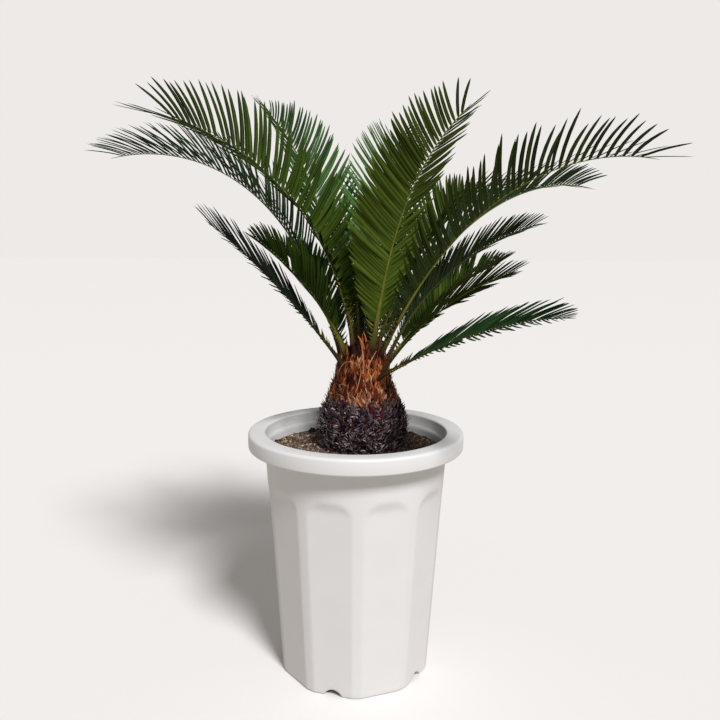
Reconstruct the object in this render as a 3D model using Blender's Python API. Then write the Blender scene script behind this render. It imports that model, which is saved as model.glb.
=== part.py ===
"""Sago palm in a white plastic pot, about 0.8 m tall: the pot, its soil, the scaly trunk, the fronds.

Metres, +Z up. The origin is on the pot's axis at the level it stands on, and the plant's front faces -Y.
Bearings are in degrees, from the front (-Y) towards +X. Heights of a frond are angles above the horizontal.
"""

import math

import bmesh
import bpy
from mathutils import Vector, noise
from mathutils.bvhtree import BVHTree

CLEARANCE = 0.0003

# The pot: a round tapering body whose lower part has flat facets between narrow ridges
POT_HEIGHT = 0.345
RIM_RADIUS = 0.150
RIM_INNER_RADIUS = 0.126
RIM_BAND = 0.022
RIM_ROUND = 0.003
NECK_RADIUS = 0.1265
NECK_HEIGHT = 0.315
FOOT_RADIUS = 0.106
FOOT_ROUND = 0.004
WALL = 0.003
INNER_NECK_RADIUS = 0.1230
NECK_FLARE = ((0.002, 0.002), (0.008, 0.0))
HUB_RADIUS = 0.012
UNDERSIDE_INSET = 0.0070
FOOT_INNER_INSET = 0.0050
FOOT_OUTER_INSET = 0.0024
RIM_DRAFT = 0.001
STEP_DEPTH = 0.015
STEP_WIDTH = 0.003
FACETS = 10
FIRST_RIDGE = 2.0
RIDGE_HALF_ANGLE = 5.0
FACET_TOP = 0.279
FACET_RUN_IN = 0.29
FLOOR_BOTTOM = 0.012
FLOOR_TOP = 0.016
NOTCH_RADIUS = 0.014
NOTCH_HEIGHT = 0.009
NOTCH_DEPTH = 0.030
DRAIN_RADIUS = 0.006
DRAIN_CIRCLE = 0.060
DRAINS = 5
DRAIN_DEPTH = 0.050

# The soil: it fills the pot and rises a little to the trunk
SOIL_EDGE = 0.317
SOIL_MIDDLE = 0.322
SOIL_RINGS = (0.108, 0.094, 0.080)
SOIL_UNEVEN = 0.0015
SOIL_PATTERN = 2.0
SEAT_RADIUS = 0.068

# The trunk: an onion-shaped bulb of old leaf bases under a domed crown
TRUNK_PROFILE = (
    (0.0570, 0.3225),
    (0.0615, 0.3420),
    (0.0620, 0.3570),
    (0.0560, 0.3730),
    (0.0480, 0.3870),
    (0.0400, 0.4060),
)
CROWN_RADIUS = 0.0360
CROWN_RISE = 0.0420
CROWN_CENTRE = 0.424
TRUNK_AXIS = Vector((0.009, 0.0, 0.0))
TRUNK_SIDES = 28
TRUNK_ROWS = 14
CROWN_ROWS = 10
CROWN_FIRST = 102.0
CROWN_LAST = 8.0
SCALE_RELIEF = 0.0030
ROW_RELIEF = 0.0012

# The leaf stalk, a three-sided rib, and the leaflets in two rows that rise from it like a V
RIB_WIDTH = 0.0070
RIB_DEPTH = 0.0055
RIB_TIP_SHARE = 0.34
RIB_ABOVE = 0.6
LEAFLET_STEP = 0.0165
LEAFLET_WIDTH = 0.0080
LEAFLET_THICKNESS = 0.0013
SPREAD_POWER = 1.8
LEAFLET_CURVE = 7.0
FIRST_LEAFLET_SHARE = 0.30
GROWN_AT = 0.35
SHORTENS_FROM = 0.5
SHORTENS_POWER = 2.5
CROWDED_SHARE = 0.62
THICKNESS_SHARE = 0.0115
ROOM = 0.0006
TIP_SCALE = 0.3
SHORTER = (1.0, 0.75, 0.5)
LAST_LEAFLET = 0.97
LAST_ANGLE = 22.0
CLOSING = 750.0

# Each frond, in degrees and metres: its bearing, its rise at the foot, its fall along the length and
# the power of that fall, its turn sideways at the tip, its length, its foot's angle from the crown's
# top, its roll, how far its leaflets rise out of its plane, how far the first of them stand off the
# rib and the share of that left at the tip, the longest leaflet, the share by which the last ones are
# shorter, and the share that is bare.
FROND_FIELDS = "bearing rise fall power turn length foot roll vee spread tip leaflet taper bare"
FRONDS = (
    # In view from the front, left to right
    (-117, 70, 86, 1.71, 39, 0.491, 64, -11, 48, 33, 0.80, 0.088, 0.40, 0.22),
    (-72, 82, 68, 1.14, -21, 0.412, 24, -30, 22, 82, 0.42, 0.108, 0.30, 0.18),
    (-56, 50, 18, 1.57, 15, 0.276, 68, -35, 8, 60, 0.62, 0.070, 0.60, 0.22),
    (-92, 67, 35, 1.02, -19, 0.212, 44, -38, 48, 42, 0.52, 0.052, 0.30, 0.18),
    (-146, 66, 38, 1.95, 2, 0.448, 28, 0, 34, 52, 0.42, 0.092, 0.55, 0.20),
    (160, 73, 40, 1.45, 17, 0.375, 30, 0, 34, 60, 0.42, 0.095, 0.45, 0.20),
    (40, 78, 41, 1.90, 18, 0.346, 34, -22, 34, 57, 0.85, 0.077, 0.62, 0.15),
    (70, 63, 78, 1.78, -23, 0.456, 48, 0, 24, 63, 0.74, 0.105, 0.30, 0.16),
    (108, 64, 71, 1.49, 7, 0.436, 50, -42, 44, 32, 0.69, 0.064, 0.10, 0.20),
    (93, 67, 52, 1.13, -11, 0.290, 66, -28, 18, 46, 0.49, 0.050, 0.60, 0.18),
    (50, 51, 33, 1.15, 0, 0.246, 80, 30, 8, 54, 0.42, 0.048, 0.60, 0.18),
    (40, 27, 23, 1.80, -10, 0.332, 90, 33, 6, 44, 0.48, 0.061, 0.80, 0.20),
    # Behind those
    (134, 62, 60, 1.60, 4, 0.365, 44, 0, 45, 60, 0.45, 0.092, 0.40, 0.20),
    (-172, 62, 56, 1.50, 0, 0.300, 52, 0, 40, 56, 0.45, 0.078, 0.40, 0.20),
    (150, 44, 36, 1.50, 4, 0.270, 78, 0, 40, 50, 0.45, 0.064, 0.40, 0.22),
    (-146, 52, 40, 1.50, -4, 0.280, 74, 0, 40, 50, 0.45, 0.066, 0.40, 0.22),
    (178, 36, 27, 1.50, 0, 0.246, 88, 0, 40, 46, 0.48, 0.060, 0.40, 0.24),
    (124, 46, 32, 1.50, 0, 0.270, 84, 0, 40, 46, 0.48, 0.064, 0.40, 0.24),
)


def clear_scene():
    for obj in list(bpy.data.objects):
        bpy.data.objects.remove(obj)


def material(name, colour, roughness):
    made = bpy.data.materials.new(name)
    made.use_nodes = True
    shader = made.node_tree.nodes["Principled BSDF"]
    shader.inputs["Base Color"].default_value = (*colour, 1.0)
    shader.inputs["Roughness"].default_value = roughness
    shader.inputs["Metallic"].default_value = 0.0
    return made


def new_object(name, bm, look, smooth_angle):
    bmesh.ops.recalc_face_normals(bm, faces=bm.faces)
    mesh = bpy.data.meshes.new(name)
    bm.to_mesh(mesh)
    bm.free()
    mesh.shade_smooth()
    mesh.set_sharp_from_angle(angle=math.radians(smooth_angle))
    mesh.materials.append(look)
    obj = bpy.data.objects.new(name, mesh)
    bpy.context.scene.collection.objects.link(obj)
    return obj


def loft(rings):
    """A body through rings of points, its first and last ring closed by a flat face."""
    bm = bmesh.new()
    loops = [[bm.verts.new(point) for point in points] for points in rings]
    for lower, upper in zip(loops, loops[1:]):
        for i in range(len(lower)):
            bm.faces.new((lower[i - 1], lower[i], upper[i], upper[i - 1]))
    bm.faces.new(loops[0])
    bm.faces.new(loops[-1])
    return bm


def ring_at(radius_at, height_at, bearings):
    """Points round the axis; the radius and the height may depend on the bearing."""
    points = []
    for bearing in bearings:
        turn = math.radians(bearing)
        radius = radius_at(bearing)
        points.append((radius * math.sin(turn), -radius * math.cos(turn), height_at(bearing)))
    return points


def level(value):
    return lambda bearing: value


def pot_bearings():
    """Two points on each ridge and three across each facet between them."""
    pitch = 360.0 / FACETS
    facet = pitch - 2 * RIDGE_HALF_ANGLE
    offsets = [-RIDGE_HALF_ANGLE] + [RIDGE_HALF_ANGLE + facet * share for share in (0.0, 0.25, 0.5, 0.75)]
    return [FIRST_RIDGE + pitch * i + offset for i in range(FACETS) for offset in offsets]


def body_radius(height):
    """The round body, without its facets."""
    return FOOT_RADIUS + (NECK_RADIUS - FOOT_RADIUS) * height / NECK_HEIGHT


def faceted_radius(height, inset=0.0):
    """The body's radius by bearing at a height: each facet is a flat that runs out below FACET_TOP."""
    pitch = 360.0 / FACETS
    full = body_radius(height)
    half_facet = math.radians(pitch / 2 - RIDGE_HALF_ANGLE)
    flat = full * math.cos(half_facet)
    run_in = full - FACET_RUN_IN * max(0.0, FACET_TOP - height)

    def radius(bearing):
        from_middle = math.radians((bearing - FIRST_RIDGE) % pitch - pitch / 2)
        if abs(from_middle) > half_facet:
            return full - inset
        return max(flat / math.cos(from_middle), run_in) - inset

    return radius


def inner_radius(height, gap=0.0):
    """The inner wall's radius by bearing: it follows the facets, then runs straight up to the step."""
    if height <= FACET_TOP:
        return faceted_radius(height, WALL + gap)
    start = body_radius(FACET_TOP) - WALL
    share = (height - FACET_TOP) / (POT_HEIGHT - STEP_DEPTH - STEP_WIDTH - FACET_TOP)
    return level(start + (INNER_NECK_RADIUS - start) * share - gap)


def facet_heights():
    """Where the facets begin, on the ridges and in the middle of each facet, and half way between."""
    depth = FOOT_RADIUS * (1 - math.cos(math.radians(180 / FACETS - RIDGE_HALF_ANGLE)))
    return [FACET_TOP - depth / FACET_RUN_IN * share for share in (0.0, 0.5, 1.1)]


def make_pot(look):
    bearings = pot_bearings()
    rim_bottom = POT_HEIGHT - RIM_BAND
    rings = []

    def add(radius, height):
        radius_at = radius if callable(radius) else level(radius)
        rings.append(ring_at(radius_at, level(height), bearings))

    # Underside, from the middle of the raised floor out to the foot
    add(HUB_RADIUS, FLOOR_BOTTOM)
    add(faceted_radius(FLOOR_BOTTOM, UNDERSIDE_INSET), FLOOR_BOTTOM)
    add(faceted_radius(0.0, FOOT_INNER_INSET), 0.0)
    # Outer wall, up to the underside of the rim
    add(faceted_radius(0.0, FOOT_OUTER_INSET), 0.0)
    add(faceted_radius(FOOT_ROUND, 0.0), FOOT_ROUND)
    for height in reversed(facet_heights()):
        add(faceted_radius(height), height)
    add(body_radius(NECK_HEIGHT), NECK_HEIGHT)
    for out, down in NECK_FLARE:
        add(NECK_RADIUS + out, rim_bottom - down)
    # Rim
    add(RIM_RADIUS - RIM_ROUND, rim_bottom)
    add(RIM_RADIUS, rim_bottom + RIM_ROUND)
    add(RIM_RADIUS, POT_HEIGHT - RIM_ROUND)
    add(RIM_RADIUS - RIM_ROUND, POT_HEIGHT)
    add(RIM_INNER_RADIUS + RIM_ROUND, POT_HEIGHT)
    add(RIM_INNER_RADIUS, POT_HEIGHT - RIM_ROUND)
    # Inner wall, down over the step to the floor
    add(RIM_INNER_RADIUS - RIM_DRAFT, POT_HEIGHT - STEP_DEPTH)
    add(INNER_NECK_RADIUS, POT_HEIGHT - STEP_DEPTH - STEP_WIDTH)
    for height in facet_heights():
        add(inner_radius(height), height)
    add(inner_radius(FLOOR_TOP), FLOOR_TOP)
    add(HUB_RADIUS, FLOOR_TOP)
    return new_object("pot", loft(rings), look, 30)


def cutter(name, radius, depth, place, axis):
    """A hidden cylinder that a Boolean takes away."""
    bm = bmesh.new()
    bmesh.ops.create_cone(bm, cap_ends=True, segments=16, radius1=radius, radius2=radius, depth=depth)
    mesh = bpy.data.meshes.new(name)
    bm.to_mesh(mesh)
    bm.free()
    obj = bpy.data.objects.new(name, mesh)
    obj.location = place
    obj.rotation_mode = "QUATERNION"
    obj.rotation_quaternion = Vector((0, 0, 1)).rotation_difference(axis)
    obj.hide_render = True
    obj.display_type = "WIRE"
    bpy.context.scene.collection.objects.link(obj)
    return obj


def cut_pot(pot):
    """An arched notch under every other facet, and drain holes through the floor."""
    cutters = bpy.data.collections.new("pot_cutters")
    bpy.context.scene.collection.children.link(cutters)
    pitch = 360.0 / FACETS
    made = []
    for i in range(FACETS // 2):
        bearing = math.radians(FIRST_RIDGE + pitch * (2 * i - 0.5))
        out = Vector((math.sin(bearing), -math.cos(bearing), 0))
        place = out * FOOT_RADIUS + Vector((0, 0, NOTCH_HEIGHT - NOTCH_RADIUS))
        made.append(cutter(f"notch_{i}", NOTCH_RADIUS, NOTCH_DEPTH, place, out))
    for i in range(DRAINS):
        bearing = math.radians(FIRST_RIDGE + 360.0 / DRAINS * i)
        place = Vector((math.sin(bearing), -math.cos(bearing), 0)) * DRAIN_CIRCLE
        made.append(cutter(f"drain_{i}", DRAIN_RADIUS, DRAIN_DEPTH, place, Vector((0, 0, 1))))
    for obj in made:
        cutters.objects.link(obj)
        bpy.context.scene.collection.objects.unlink(obj)
    cutters.hide_render = True
    cut = pot.modifiers.new("notches_and_drains", "BOOLEAN")
    cut.operation = "DIFFERENCE"
    cut.operand_type = "COLLECTION"
    cut.collection = cutters


def make_soil(look):
    bearings = pot_bearings()
    gap = 3 * CLEARANCE
    rings = [ring_at(level(HUB_RADIUS), level(FLOOR_TOP + CLEARANCE), bearings)]
    for height in (FLOOR_TOP + CLEARANCE, *reversed(facet_heights()), SOIL_EDGE):
        rings.append(ring_at(inner_radius(height, gap), level(height), bearings))

    def uneven(radius, middle):
        def height(bearing):
            turn = math.radians(bearing)
            place = Vector((math.sin(turn), math.cos(turn), radius / SEAT_RADIUS)) * SOIL_PATTERN
            return middle + SOIL_UNEVEN * noise.noise(place)

        return height

    for radius in SOIL_RINGS:
        share = (radius - SEAT_RADIUS) / (NECK_RADIUS - SEAT_RADIUS)
        middle = SOIL_MIDDLE + (SOIL_EDGE - SOIL_MIDDLE) * share
        rings.append(ring_at(level(radius), uneven(radius, middle), bearings))
    seat = level(TRUNK_PROFILE[0][1] - CLEARANCE)
    rings.append(ring_at(level(SEAT_RADIUS), seat, bearings))
    rings.append(ring_at(level(HUB_RADIUS), seat, bearings))
    return new_object("soil", loft(rings), look, 60)


def smooth_point(points, share):
    """A point a share of the way along a smooth curve through the points."""
    place = share * (len(points) - 1)
    i = min(int(place), len(points) - 2)
    t = place - i
    before = Vector(points[max(i - 1, 0)])
    start = Vector(points[i])
    end = Vector(points[i + 1])
    after = Vector(points[min(i + 2, len(points) - 1)])
    return 0.5 * (
        2 * start
        + (end - before) * t
        + (2 * before - 5 * start + 4 * end - after) * t * t
        + (3 * start - before - 3 * end + after) * t * t * t
    )


def make_trunk(look):
    """Rows of broad scales, alternate rows half a scale on, then the smooth dome that bears the fronds."""
    step = 360.0 / TRUNK_SIDES
    bearings = [step * i for i in range(TRUNK_SIDES)]
    rings = []
    for row in range(TRUNK_ROWS):
        radius, height = smooth_point(TRUNK_PROFILE, row / (TRUNK_ROWS - 1))
        relief = SCALE_RELIEF if 0 < row < TRUNK_ROWS - 2 else 0.0

        def radius_at(bearing, row=row, radius=radius, relief=relief):
            odd = (round(bearing / step) // 2 + row // 2) % 2
            return radius + (relief / 2 if odd else -relief / 2) - ROW_RELIEF * (row % 2)

        rings.append(ring_at(radius_at, level(height), bearings))
    for row in range(CROWN_ROWS):
        angle = math.radians(CROWN_FIRST + (CROWN_LAST - CROWN_FIRST) * row / (CROWN_ROWS - 1))
        radius = CROWN_RADIUS * math.sin(angle)
        height = CROWN_CENTRE + CROWN_RISE * math.cos(angle)
        rings.append(ring_at(level(radius), level(height), bearings))
    bm = loft(rings)
    bmesh.ops.translate(bm, vec=TRUNK_AXIS, verts=bm.verts)
    return new_object("trunk", bm, look, 25)


def direction(bearing, rise):
    turn = math.radians(bearing)
    up = math.radians(rise)
    return Vector((math.cos(up) * math.sin(turn), -math.cos(up) * math.cos(turn), math.sin(up)))


class Rib:
    """A frond's midrib: a curve that leaves the crown at its rise, then bends down and sideways."""

    STEPS = 60

    def __init__(self, row):
        for name, value in zip(FROND_FIELDS.split(), row):
            setattr(self, name, value)
        angle = math.radians(self.foot)
        out = direction(self.bearing, 0)
        up = Vector((0, 0, 1))
        normal = out * math.sin(angle) / CROWN_RADIUS + up * math.cos(angle) / CROWN_RISE
        self.foot_normal = normal.normalized()
        height = CROWN_CENTRE + CROWN_RISE * math.cos(angle)
        foot = TRUNK_AXIS + out * CROWN_RADIUS * math.sin(angle) + up * height
        self.start = foot + self.foot_normal * CLEARANCE
        self.points = [self.start]
        for i in range(self.STEPS):
            heading = self.heading((i + 0.5) / self.STEPS)
            self.points.append(self.points[-1] + heading * self.length / self.STEPS)

    def heading(self, share):
        bearing = self.bearing + self.turn * share**2
        return direction(bearing, self.rise - self.fall * share**self.power)

    def point(self, share):
        place = share * self.STEPS
        i = min(int(place), self.STEPS - 1)
        return self.points[i].lerp(self.points[i + 1], place - i)

    def frame(self, share):
        """The heading, the upper face's normal and the direction of the right-hand row."""
        along = self.heading(share)
        level_side = direction(self.bearing + self.turn * share**2 + 90, 0)
        roll = math.radians(self.roll)
        side = level_side * math.cos(roll) + along.cross(level_side) * math.sin(roll)
        return along, along.cross(side), side

    def section(self, share):
        """The rib's three corners: its upper edge, then its two lower edges."""
        along, above, side = self.frame(share)
        size = 1 - (1 - RIB_TIP_SHARE) * share
        middle = self.point(share)
        half_width = side * RIB_WIDTH * size / 2
        depth = above * RIB_DEPTH * size
        lower = middle - depth * (1 - RIB_ABOVE)
        corners = [middle + depth * RIB_ABOVE, lower + half_width, lower - half_width]
        if share == 0:
            slope = along.dot(self.foot_normal)
            corners = [c - along * (c - self.start).dot(self.foot_normal) / slope for c in corners]
        return corners

    def stations(self):
        """Where along the rib the leaflets sit."""
        count = round((LAST_LEAFLET - self.bare) * self.length / LEAFLET_STEP)
        return [self.bare + (LAST_LEAFLET - self.bare) * i / (count - 1) for i in range(count)]

    def leaflet_angle(self, share):
        """A leaflet's angle off the rib: it closes slowly, and the last few point forward."""
        angle = self.spread * (1 - (1 - self.tip) * share**SPREAD_POWER)
        return min(angle, LAST_ANGLE + CLOSING * (LAST_LEAFLET - share))

    def leaflet_share(self, share):
        """A leaflet's length, as a share of the longest: short and spiny at first, long in the middle."""
        along_blade = (share - self.bare) / (LAST_LEAFLET - self.bare)
        grown = math.sin(min(along_blade / GROWN_AT, 1.0) * math.pi / 2)
        shortened = max(0.0, (along_blade - SHORTENS_FROM) / (1 - SHORTENS_FROM)) ** SHORTENS_POWER
        length = FIRST_LEAFLET_SHARE + (1 - FIRST_LEAFLET_SHARE) * grown
        return length * (1 - self.taper * shortened)


class Leaflet:
    """One leaflet's place and size: its root on the rib, the middle and tip of its blade, its faces."""

    def __init__(self, rib, share, row, root, reach):
        along, above, side = rib.frame(share)
        rise = math.radians(rib.vee)
        outward = side * row * math.cos(rise) + above * math.sin(rise)
        angle = rib.leaflet_angle(share)
        length = rib.leaflet * rib.leaflet_share(share) * reach
        first, second = [
            along * math.cos(math.radians(a)) + outward * math.sin(math.radians(a))
            for a in (angle + LEAFLET_CURVE, angle - LEAFLET_CURVE)
        ]
        self.root = root
        self.middle = root + first * length / 2
        self.tip = self.middle + second * length / 2
        face = first.cross(along).normalized()
        self.face = face if face.dot(above) > 0 else -face
        across = self.face.cross(first).normalized()
        self.across = across if across.dot(along) > 0 else -across
        crowding = CROWDED_SHARE * LEAFLET_STEP * math.sin(math.radians(angle - LEAFLET_CURVE))
        self.width = min(LEAFLET_WIDTH, crowding)
        self.thickness = max(LEAFLET_THICKNESS, length * THICKNESS_SHARE)

    def section(self, centre, grown=0.0, scale=1.0):
        """The blade's four corners at a point along it."""
        half_width = self.across * (self.width / 2 + grown) * scale
        half_depth = self.face * (self.thickness / 2 + grown) * scale
        corners = ((-1, 1), (1, 1), (1, -1), (-1, -1))
        return [centre + wide * half_width + deep * half_depth for wide, deep in corners]

    def is_free(self, others):
        """Whether the leaflet, with a little room on all sides, keeps clear of every other solid."""
        beyond = self.tip + (self.tip - self.middle).normalized() * ROOM
        points = self.section(self.root, ROOM) + self.section(self.middle, ROOM)
        points += self.section(beyond, ROOM, TIP_SCALE)
        faces = [(3, 2, 1, 0), (8, 9, 10, 11)]
        for start in (0, 4):
            for i in range(4):
                j = (i + 1) % 4
                faces.append((start + i, start + j, start + 4 + j, start + 4 + i))
        return not others.overlap(BVHTree.FromPolygons(points, faces))


def rib_rings(rib):
    """Shares of the rib's rings, and for each leaflet the ring that it starts at."""
    half = LEAFLET_WIDTH / 2 / rib.length
    shares = [0.0, rib.bare * 0.2, rib.bare * 0.6]
    starts = {}
    for station in rib.stations():
        starts[len(shares)] = station
        shares += [station - half, station + half]
    return shares, starts


def start_frond(rib):
    """The frond's rib as a bmesh, with the side faces that its leaflets are drawn out of."""
    bm = bmesh.new()
    shares, starts = rib_rings(rib)
    rings = [[bm.verts.new(corner) for corner in rib.section(share)] for share in shares]
    bm.faces.new(rings[0])
    sockets = []
    for i, (low, high) in enumerate(zip(rings, rings[1:])):
        for a, b, row in ((0, 1, 1), (1, 2, 0), (2, 0, -1)):
            face = bm.faces.new((low[a], low[b], high[b], high[a]))
            if i in starts and row:
                sockets.append((face, row, starts[i]))
    tip = bm.verts.new(rib.point(1.0))
    for a in range(3):
        bm.faces.new((rings[-1][a], rings[-1][(a + 1) % 3], tip))
    bmesh.ops.recalc_face_normals(bm, faces=bm.faces)
    return bm, sockets


def draw_out(bm, socket, leaflet):
    """The socket drawn out to the blade's middle section, and from there to a point."""
    blade = bmesh.ops.extrude_discrete_faces(bm, faces=[socket])["faces"][0]
    for vert in blade.verts:
        out = vert.co - leaflet.root
        wide = math.copysign(leaflet.width / 2, out.dot(leaflet.across))
        high = math.copysign(leaflet.thickness / 2, out.dot(leaflet.face))
        vert.co = leaflet.middle + leaflet.across * wide + leaflet.face * high
    blade = bmesh.ops.extrude_discrete_faces(bm, faces=[blade])["faces"][0]
    bmesh.ops.pointmerge(bm, verts=list(blade.verts), merge_co=leaflet.tip)


def add_leaflets(bm, sockets, rib, others):
    """A leaflet from each socket, shorter where a solid is in its way, and none where it has no room."""
    for socket, row, share in sockets:
        root = socket.calc_center_median()
        for reach in SHORTER:
            leaflet = Leaflet(rib, share, row, root, reach)
            if leaflet.is_free(others):
                draw_out(bm, socket, leaflet)
                break


def tree_of(bmeshes):
    """One search tree over several meshes."""
    points = []
    faces = []
    for bm in bmeshes:
        start = len(points)
        bm.verts.index_update()
        points += [vert.co.copy() for vert in bm.verts]
        faces += [[start + vert.index for vert in face.verts] for face in bm.faces]
    return BVHTree.FromPolygons(points, faces)


def make_fronds(look, solids):
    """Every rib is set out first, so that no frond's leaflets reach another's rib."""
    fixed = []
    for obj in solids:
        bm = bmesh.new()
        bm.from_mesh(obj.data)
        fixed.append(bm)
    ribs = [Rib(spec) for spec in FRONDS]
    started = [start_frond(rib) for rib in ribs]
    for i, (rib, (bm, sockets)) in enumerate(zip(ribs, started)):
        others = tree_of(fixed + [other for j, (other, _) in enumerate(started) if j != i])
        add_leaflets(bm, sockets, rib, others)
    for i, (bm, _) in enumerate(started):
        new_object(f"frond_{i + 1:02d}", bm, look, 40)
    for bm in fixed:
        bm.free()


def main():
    clear_scene()
    pot = make_pot(material("white plastic", (0.80, 0.80, 0.80), 0.35))
    cut_pot(pot)
    soil = make_soil(material("soil", (0.10, 0.065, 0.045), 0.95))
    trunk = make_trunk(material("old leaf bases", (0.045, 0.025, 0.025), 0.8))
    make_fronds(material("dark green leaf", (0.030, 0.070, 0.018), 0.4), (pot, soil, trunk))


main()
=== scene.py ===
# %% [markdown]
# # A sago palm in its white pot
#
# A sago palm is a cycad: a squat bulb of a trunk, wrapped in the stubs of its old leaves, with a crown
# of stiff, feather-shaped fronds. This one grows in a tall white plastic pot. The construction model
# already holds every main part at its real place and size, so it is loaded first as a fixed frame.
# Everything below is made in that frame, in metres, with the pot's axis on the Z axis.

# %% Load the frame
import math

import bmesh
import bpy
import numpy as np
from mathutils import Matrix, Vector, noise


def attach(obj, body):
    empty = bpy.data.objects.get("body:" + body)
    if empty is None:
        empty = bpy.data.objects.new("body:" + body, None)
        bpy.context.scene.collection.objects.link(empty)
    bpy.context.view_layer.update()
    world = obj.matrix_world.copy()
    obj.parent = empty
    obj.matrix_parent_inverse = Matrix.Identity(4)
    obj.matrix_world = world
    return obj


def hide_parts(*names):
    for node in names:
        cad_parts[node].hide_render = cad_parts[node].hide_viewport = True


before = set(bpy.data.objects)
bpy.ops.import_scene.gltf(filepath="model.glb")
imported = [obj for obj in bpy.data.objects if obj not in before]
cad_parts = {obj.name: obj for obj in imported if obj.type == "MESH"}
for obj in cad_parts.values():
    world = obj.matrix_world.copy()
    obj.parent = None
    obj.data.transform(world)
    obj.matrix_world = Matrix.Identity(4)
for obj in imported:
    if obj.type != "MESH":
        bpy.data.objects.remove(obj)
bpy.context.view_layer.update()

# %% [markdown]
# ## The camera
#
# The view is a photographer's: standing close, a little above the pot's rim, looking slightly down.
# Such a short distance matters, because it opens the rim to a wide ellipse and makes the fronds that
# come forward look longer than those behind. A focal length in pixels turns into millimetres through
# the sensor's width.

# %% Place the camera
PICTURE_SIDE = 720
FOCAL_LENGTH_PIXELS = 724
SENSOR = 36.0
CAMERA_PLACE = Vector((0.005, -0.99, 0.60))
CAMERA_LOOKS_DOWN = math.radians(9.03)
CAMERA_ROLL = 0.007

camera_data = bpy.data.cameras.new("camera")
camera_data.sensor_width = SENSOR
camera_data.lens = SENSOR * FOCAL_LENGTH_PIXELS / PICTURE_SIDE
camera = bpy.data.objects.new("camera", camera_data)
tilt = Matrix.Rotation(math.radians(90) - CAMERA_LOOKS_DOWN, 4, "X")
camera.matrix_world = Matrix.Translation(CAMERA_PLACE) @ tilt @ Matrix.Rotation(CAMERA_ROLL, 4, "Z")
bpy.context.scene.collection.objects.link(camera)
bpy.context.scene.camera = camera
print("focal length", round(camera_data.lens, 1), "mm")

# %% [markdown]
# ## Short words for nodes
#
# Every material is a small tree of shader nodes. A few helpers keep the trees short to write: one adds a
# node with its inputs, one mixes two colours, and one moves a value to another range. An input is given
# as a plain value or as the output that feeds it.

# %% Define the helpers for nodes and meshes
def feed(tree, socket, value):
    """Link an input to an output, or set its value; three numbers are a colour."""
    if isinstance(value, bpy.types.NodeSocket):
        tree.links.new(value, socket)
    else:
        socket.default_value = (*value, 1.0) if socket.type == "RGBA" else value


def add_node(tree, kind, inputs=None, **settings):
    """A new node; its settings come first, because they decide which inputs it has."""
    node = tree.nodes.new("ShaderNode" + kind)
    for name, value in settings.items():
        setattr(node, name, value)
    for name, value in (inputs or {}).items():
        feed(tree, node.inputs[name], value)
    return node


def mapped(tree, value, low, high):
    """A value from 0 to 1 moved to another range."""
    return add_node(tree, "MapRange", {"Value": value, "To Min": low, "To Max": high}).outputs["Result"]


def mixed(tree, factor, first, second, blend="MIX"):
    """Two colours mixed by a value."""
    inputs = {"Factor": factor, "A": first, "B": second}
    return add_node(tree, "Mix", inputs, data_type="RGBA", blend_type=blend).outputs["Result"]


def set_shader(made, inputs):
    """Set or link inputs of a material's Principled BSDF."""
    tree = made.node_tree
    for name, value in inputs.items():
        feed(tree, tree.nodes["Principled BSDF"].inputs[name], value)


def plain_material(name, colour, roughness):
    """A material with only a Principled BSDF."""
    made = bpy.data.materials.new(name)
    made.use_nodes = True
    set_shader(made, {"Base Color": colour, "Roughness": roughness})
    return made


def link_mesh(name, bm, materials):
    """A bmesh turned into an object in the scene, at the origin."""
    mesh = bpy.data.meshes.new(name)
    bm.to_mesh(mesh)
    bm.free()
    for look in materials:
        mesh.materials.append(look)
    made = bpy.data.objects.new(name, mesh)
    bpy.context.scene.collection.objects.link(made)
    return made


print("helpers ready")

# %% [markdown]
# ## Floor and light
#
# The floor is one large pale plane. A sun with a wide disc stands high on the right in front, so the rim
# throws a soft-edged shadow on the pot and each leaflet has a lit side. An even sky fills the shadows.
# Both the floor and the sky look lighter to the camera than they shine on the plant. So the backdrop is
# clean, while the fronds stay dark and the pot keeps its shading under the rim.

# %% Make the floor and the light
FLOOR_SIDE = 60.0
FLOOR_COLOUR = (0.80, 0.78, 0.76)
FLOOR_BOUNCE = (0.53, 0.49, 0.45)
FLOOR_ROUGHNESS = 0.9
SUN_STRENGTH = 3.4
SUN_COLOUR = (0.99, 0.99, 1.0)
SUN_DISC = math.radians(15)
SUN_BEARING = math.radians(26)
SUN_HEIGHT = math.radians(48)
SKY_SHINES = 0.33
SKY_LOOKS = 0.85
SKY_LIGHT = (1.0, 0.965, 0.93)
SKY_SEEN = (1.0, 0.967, 0.942)

floor_bm = bmesh.new()
bmesh.ops.create_grid(floor_bm, x_segments=1, y_segments=1, size=FLOOR_SIDE / 2)
floor_look = plain_material("pale floor", FLOOR_COLOUR, FLOOR_ROUGHNESS)
seen = add_node(floor_look.node_tree, "LightPath").outputs["Is Camera Ray"]
set_shader(floor_look, {"Base Color": mixed(floor_look.node_tree, seen, FLOOR_BOUNCE, FLOOR_COLOUR)})
floor = link_mesh("floor", floor_bm, [floor_look])

sun_data = bpy.data.lights.new("sun", "SUN")
sun_data.energy = SUN_STRENGTH
sun_data.angle = SUN_DISC
sun_data.color = SUN_COLOUR
sun = bpy.data.objects.new("sun", sun_data)
sun.rotation_euler = (math.radians(90) - SUN_HEIGHT, 0.0, SUN_BEARING)
bpy.context.scene.collection.objects.link(sun)

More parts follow.
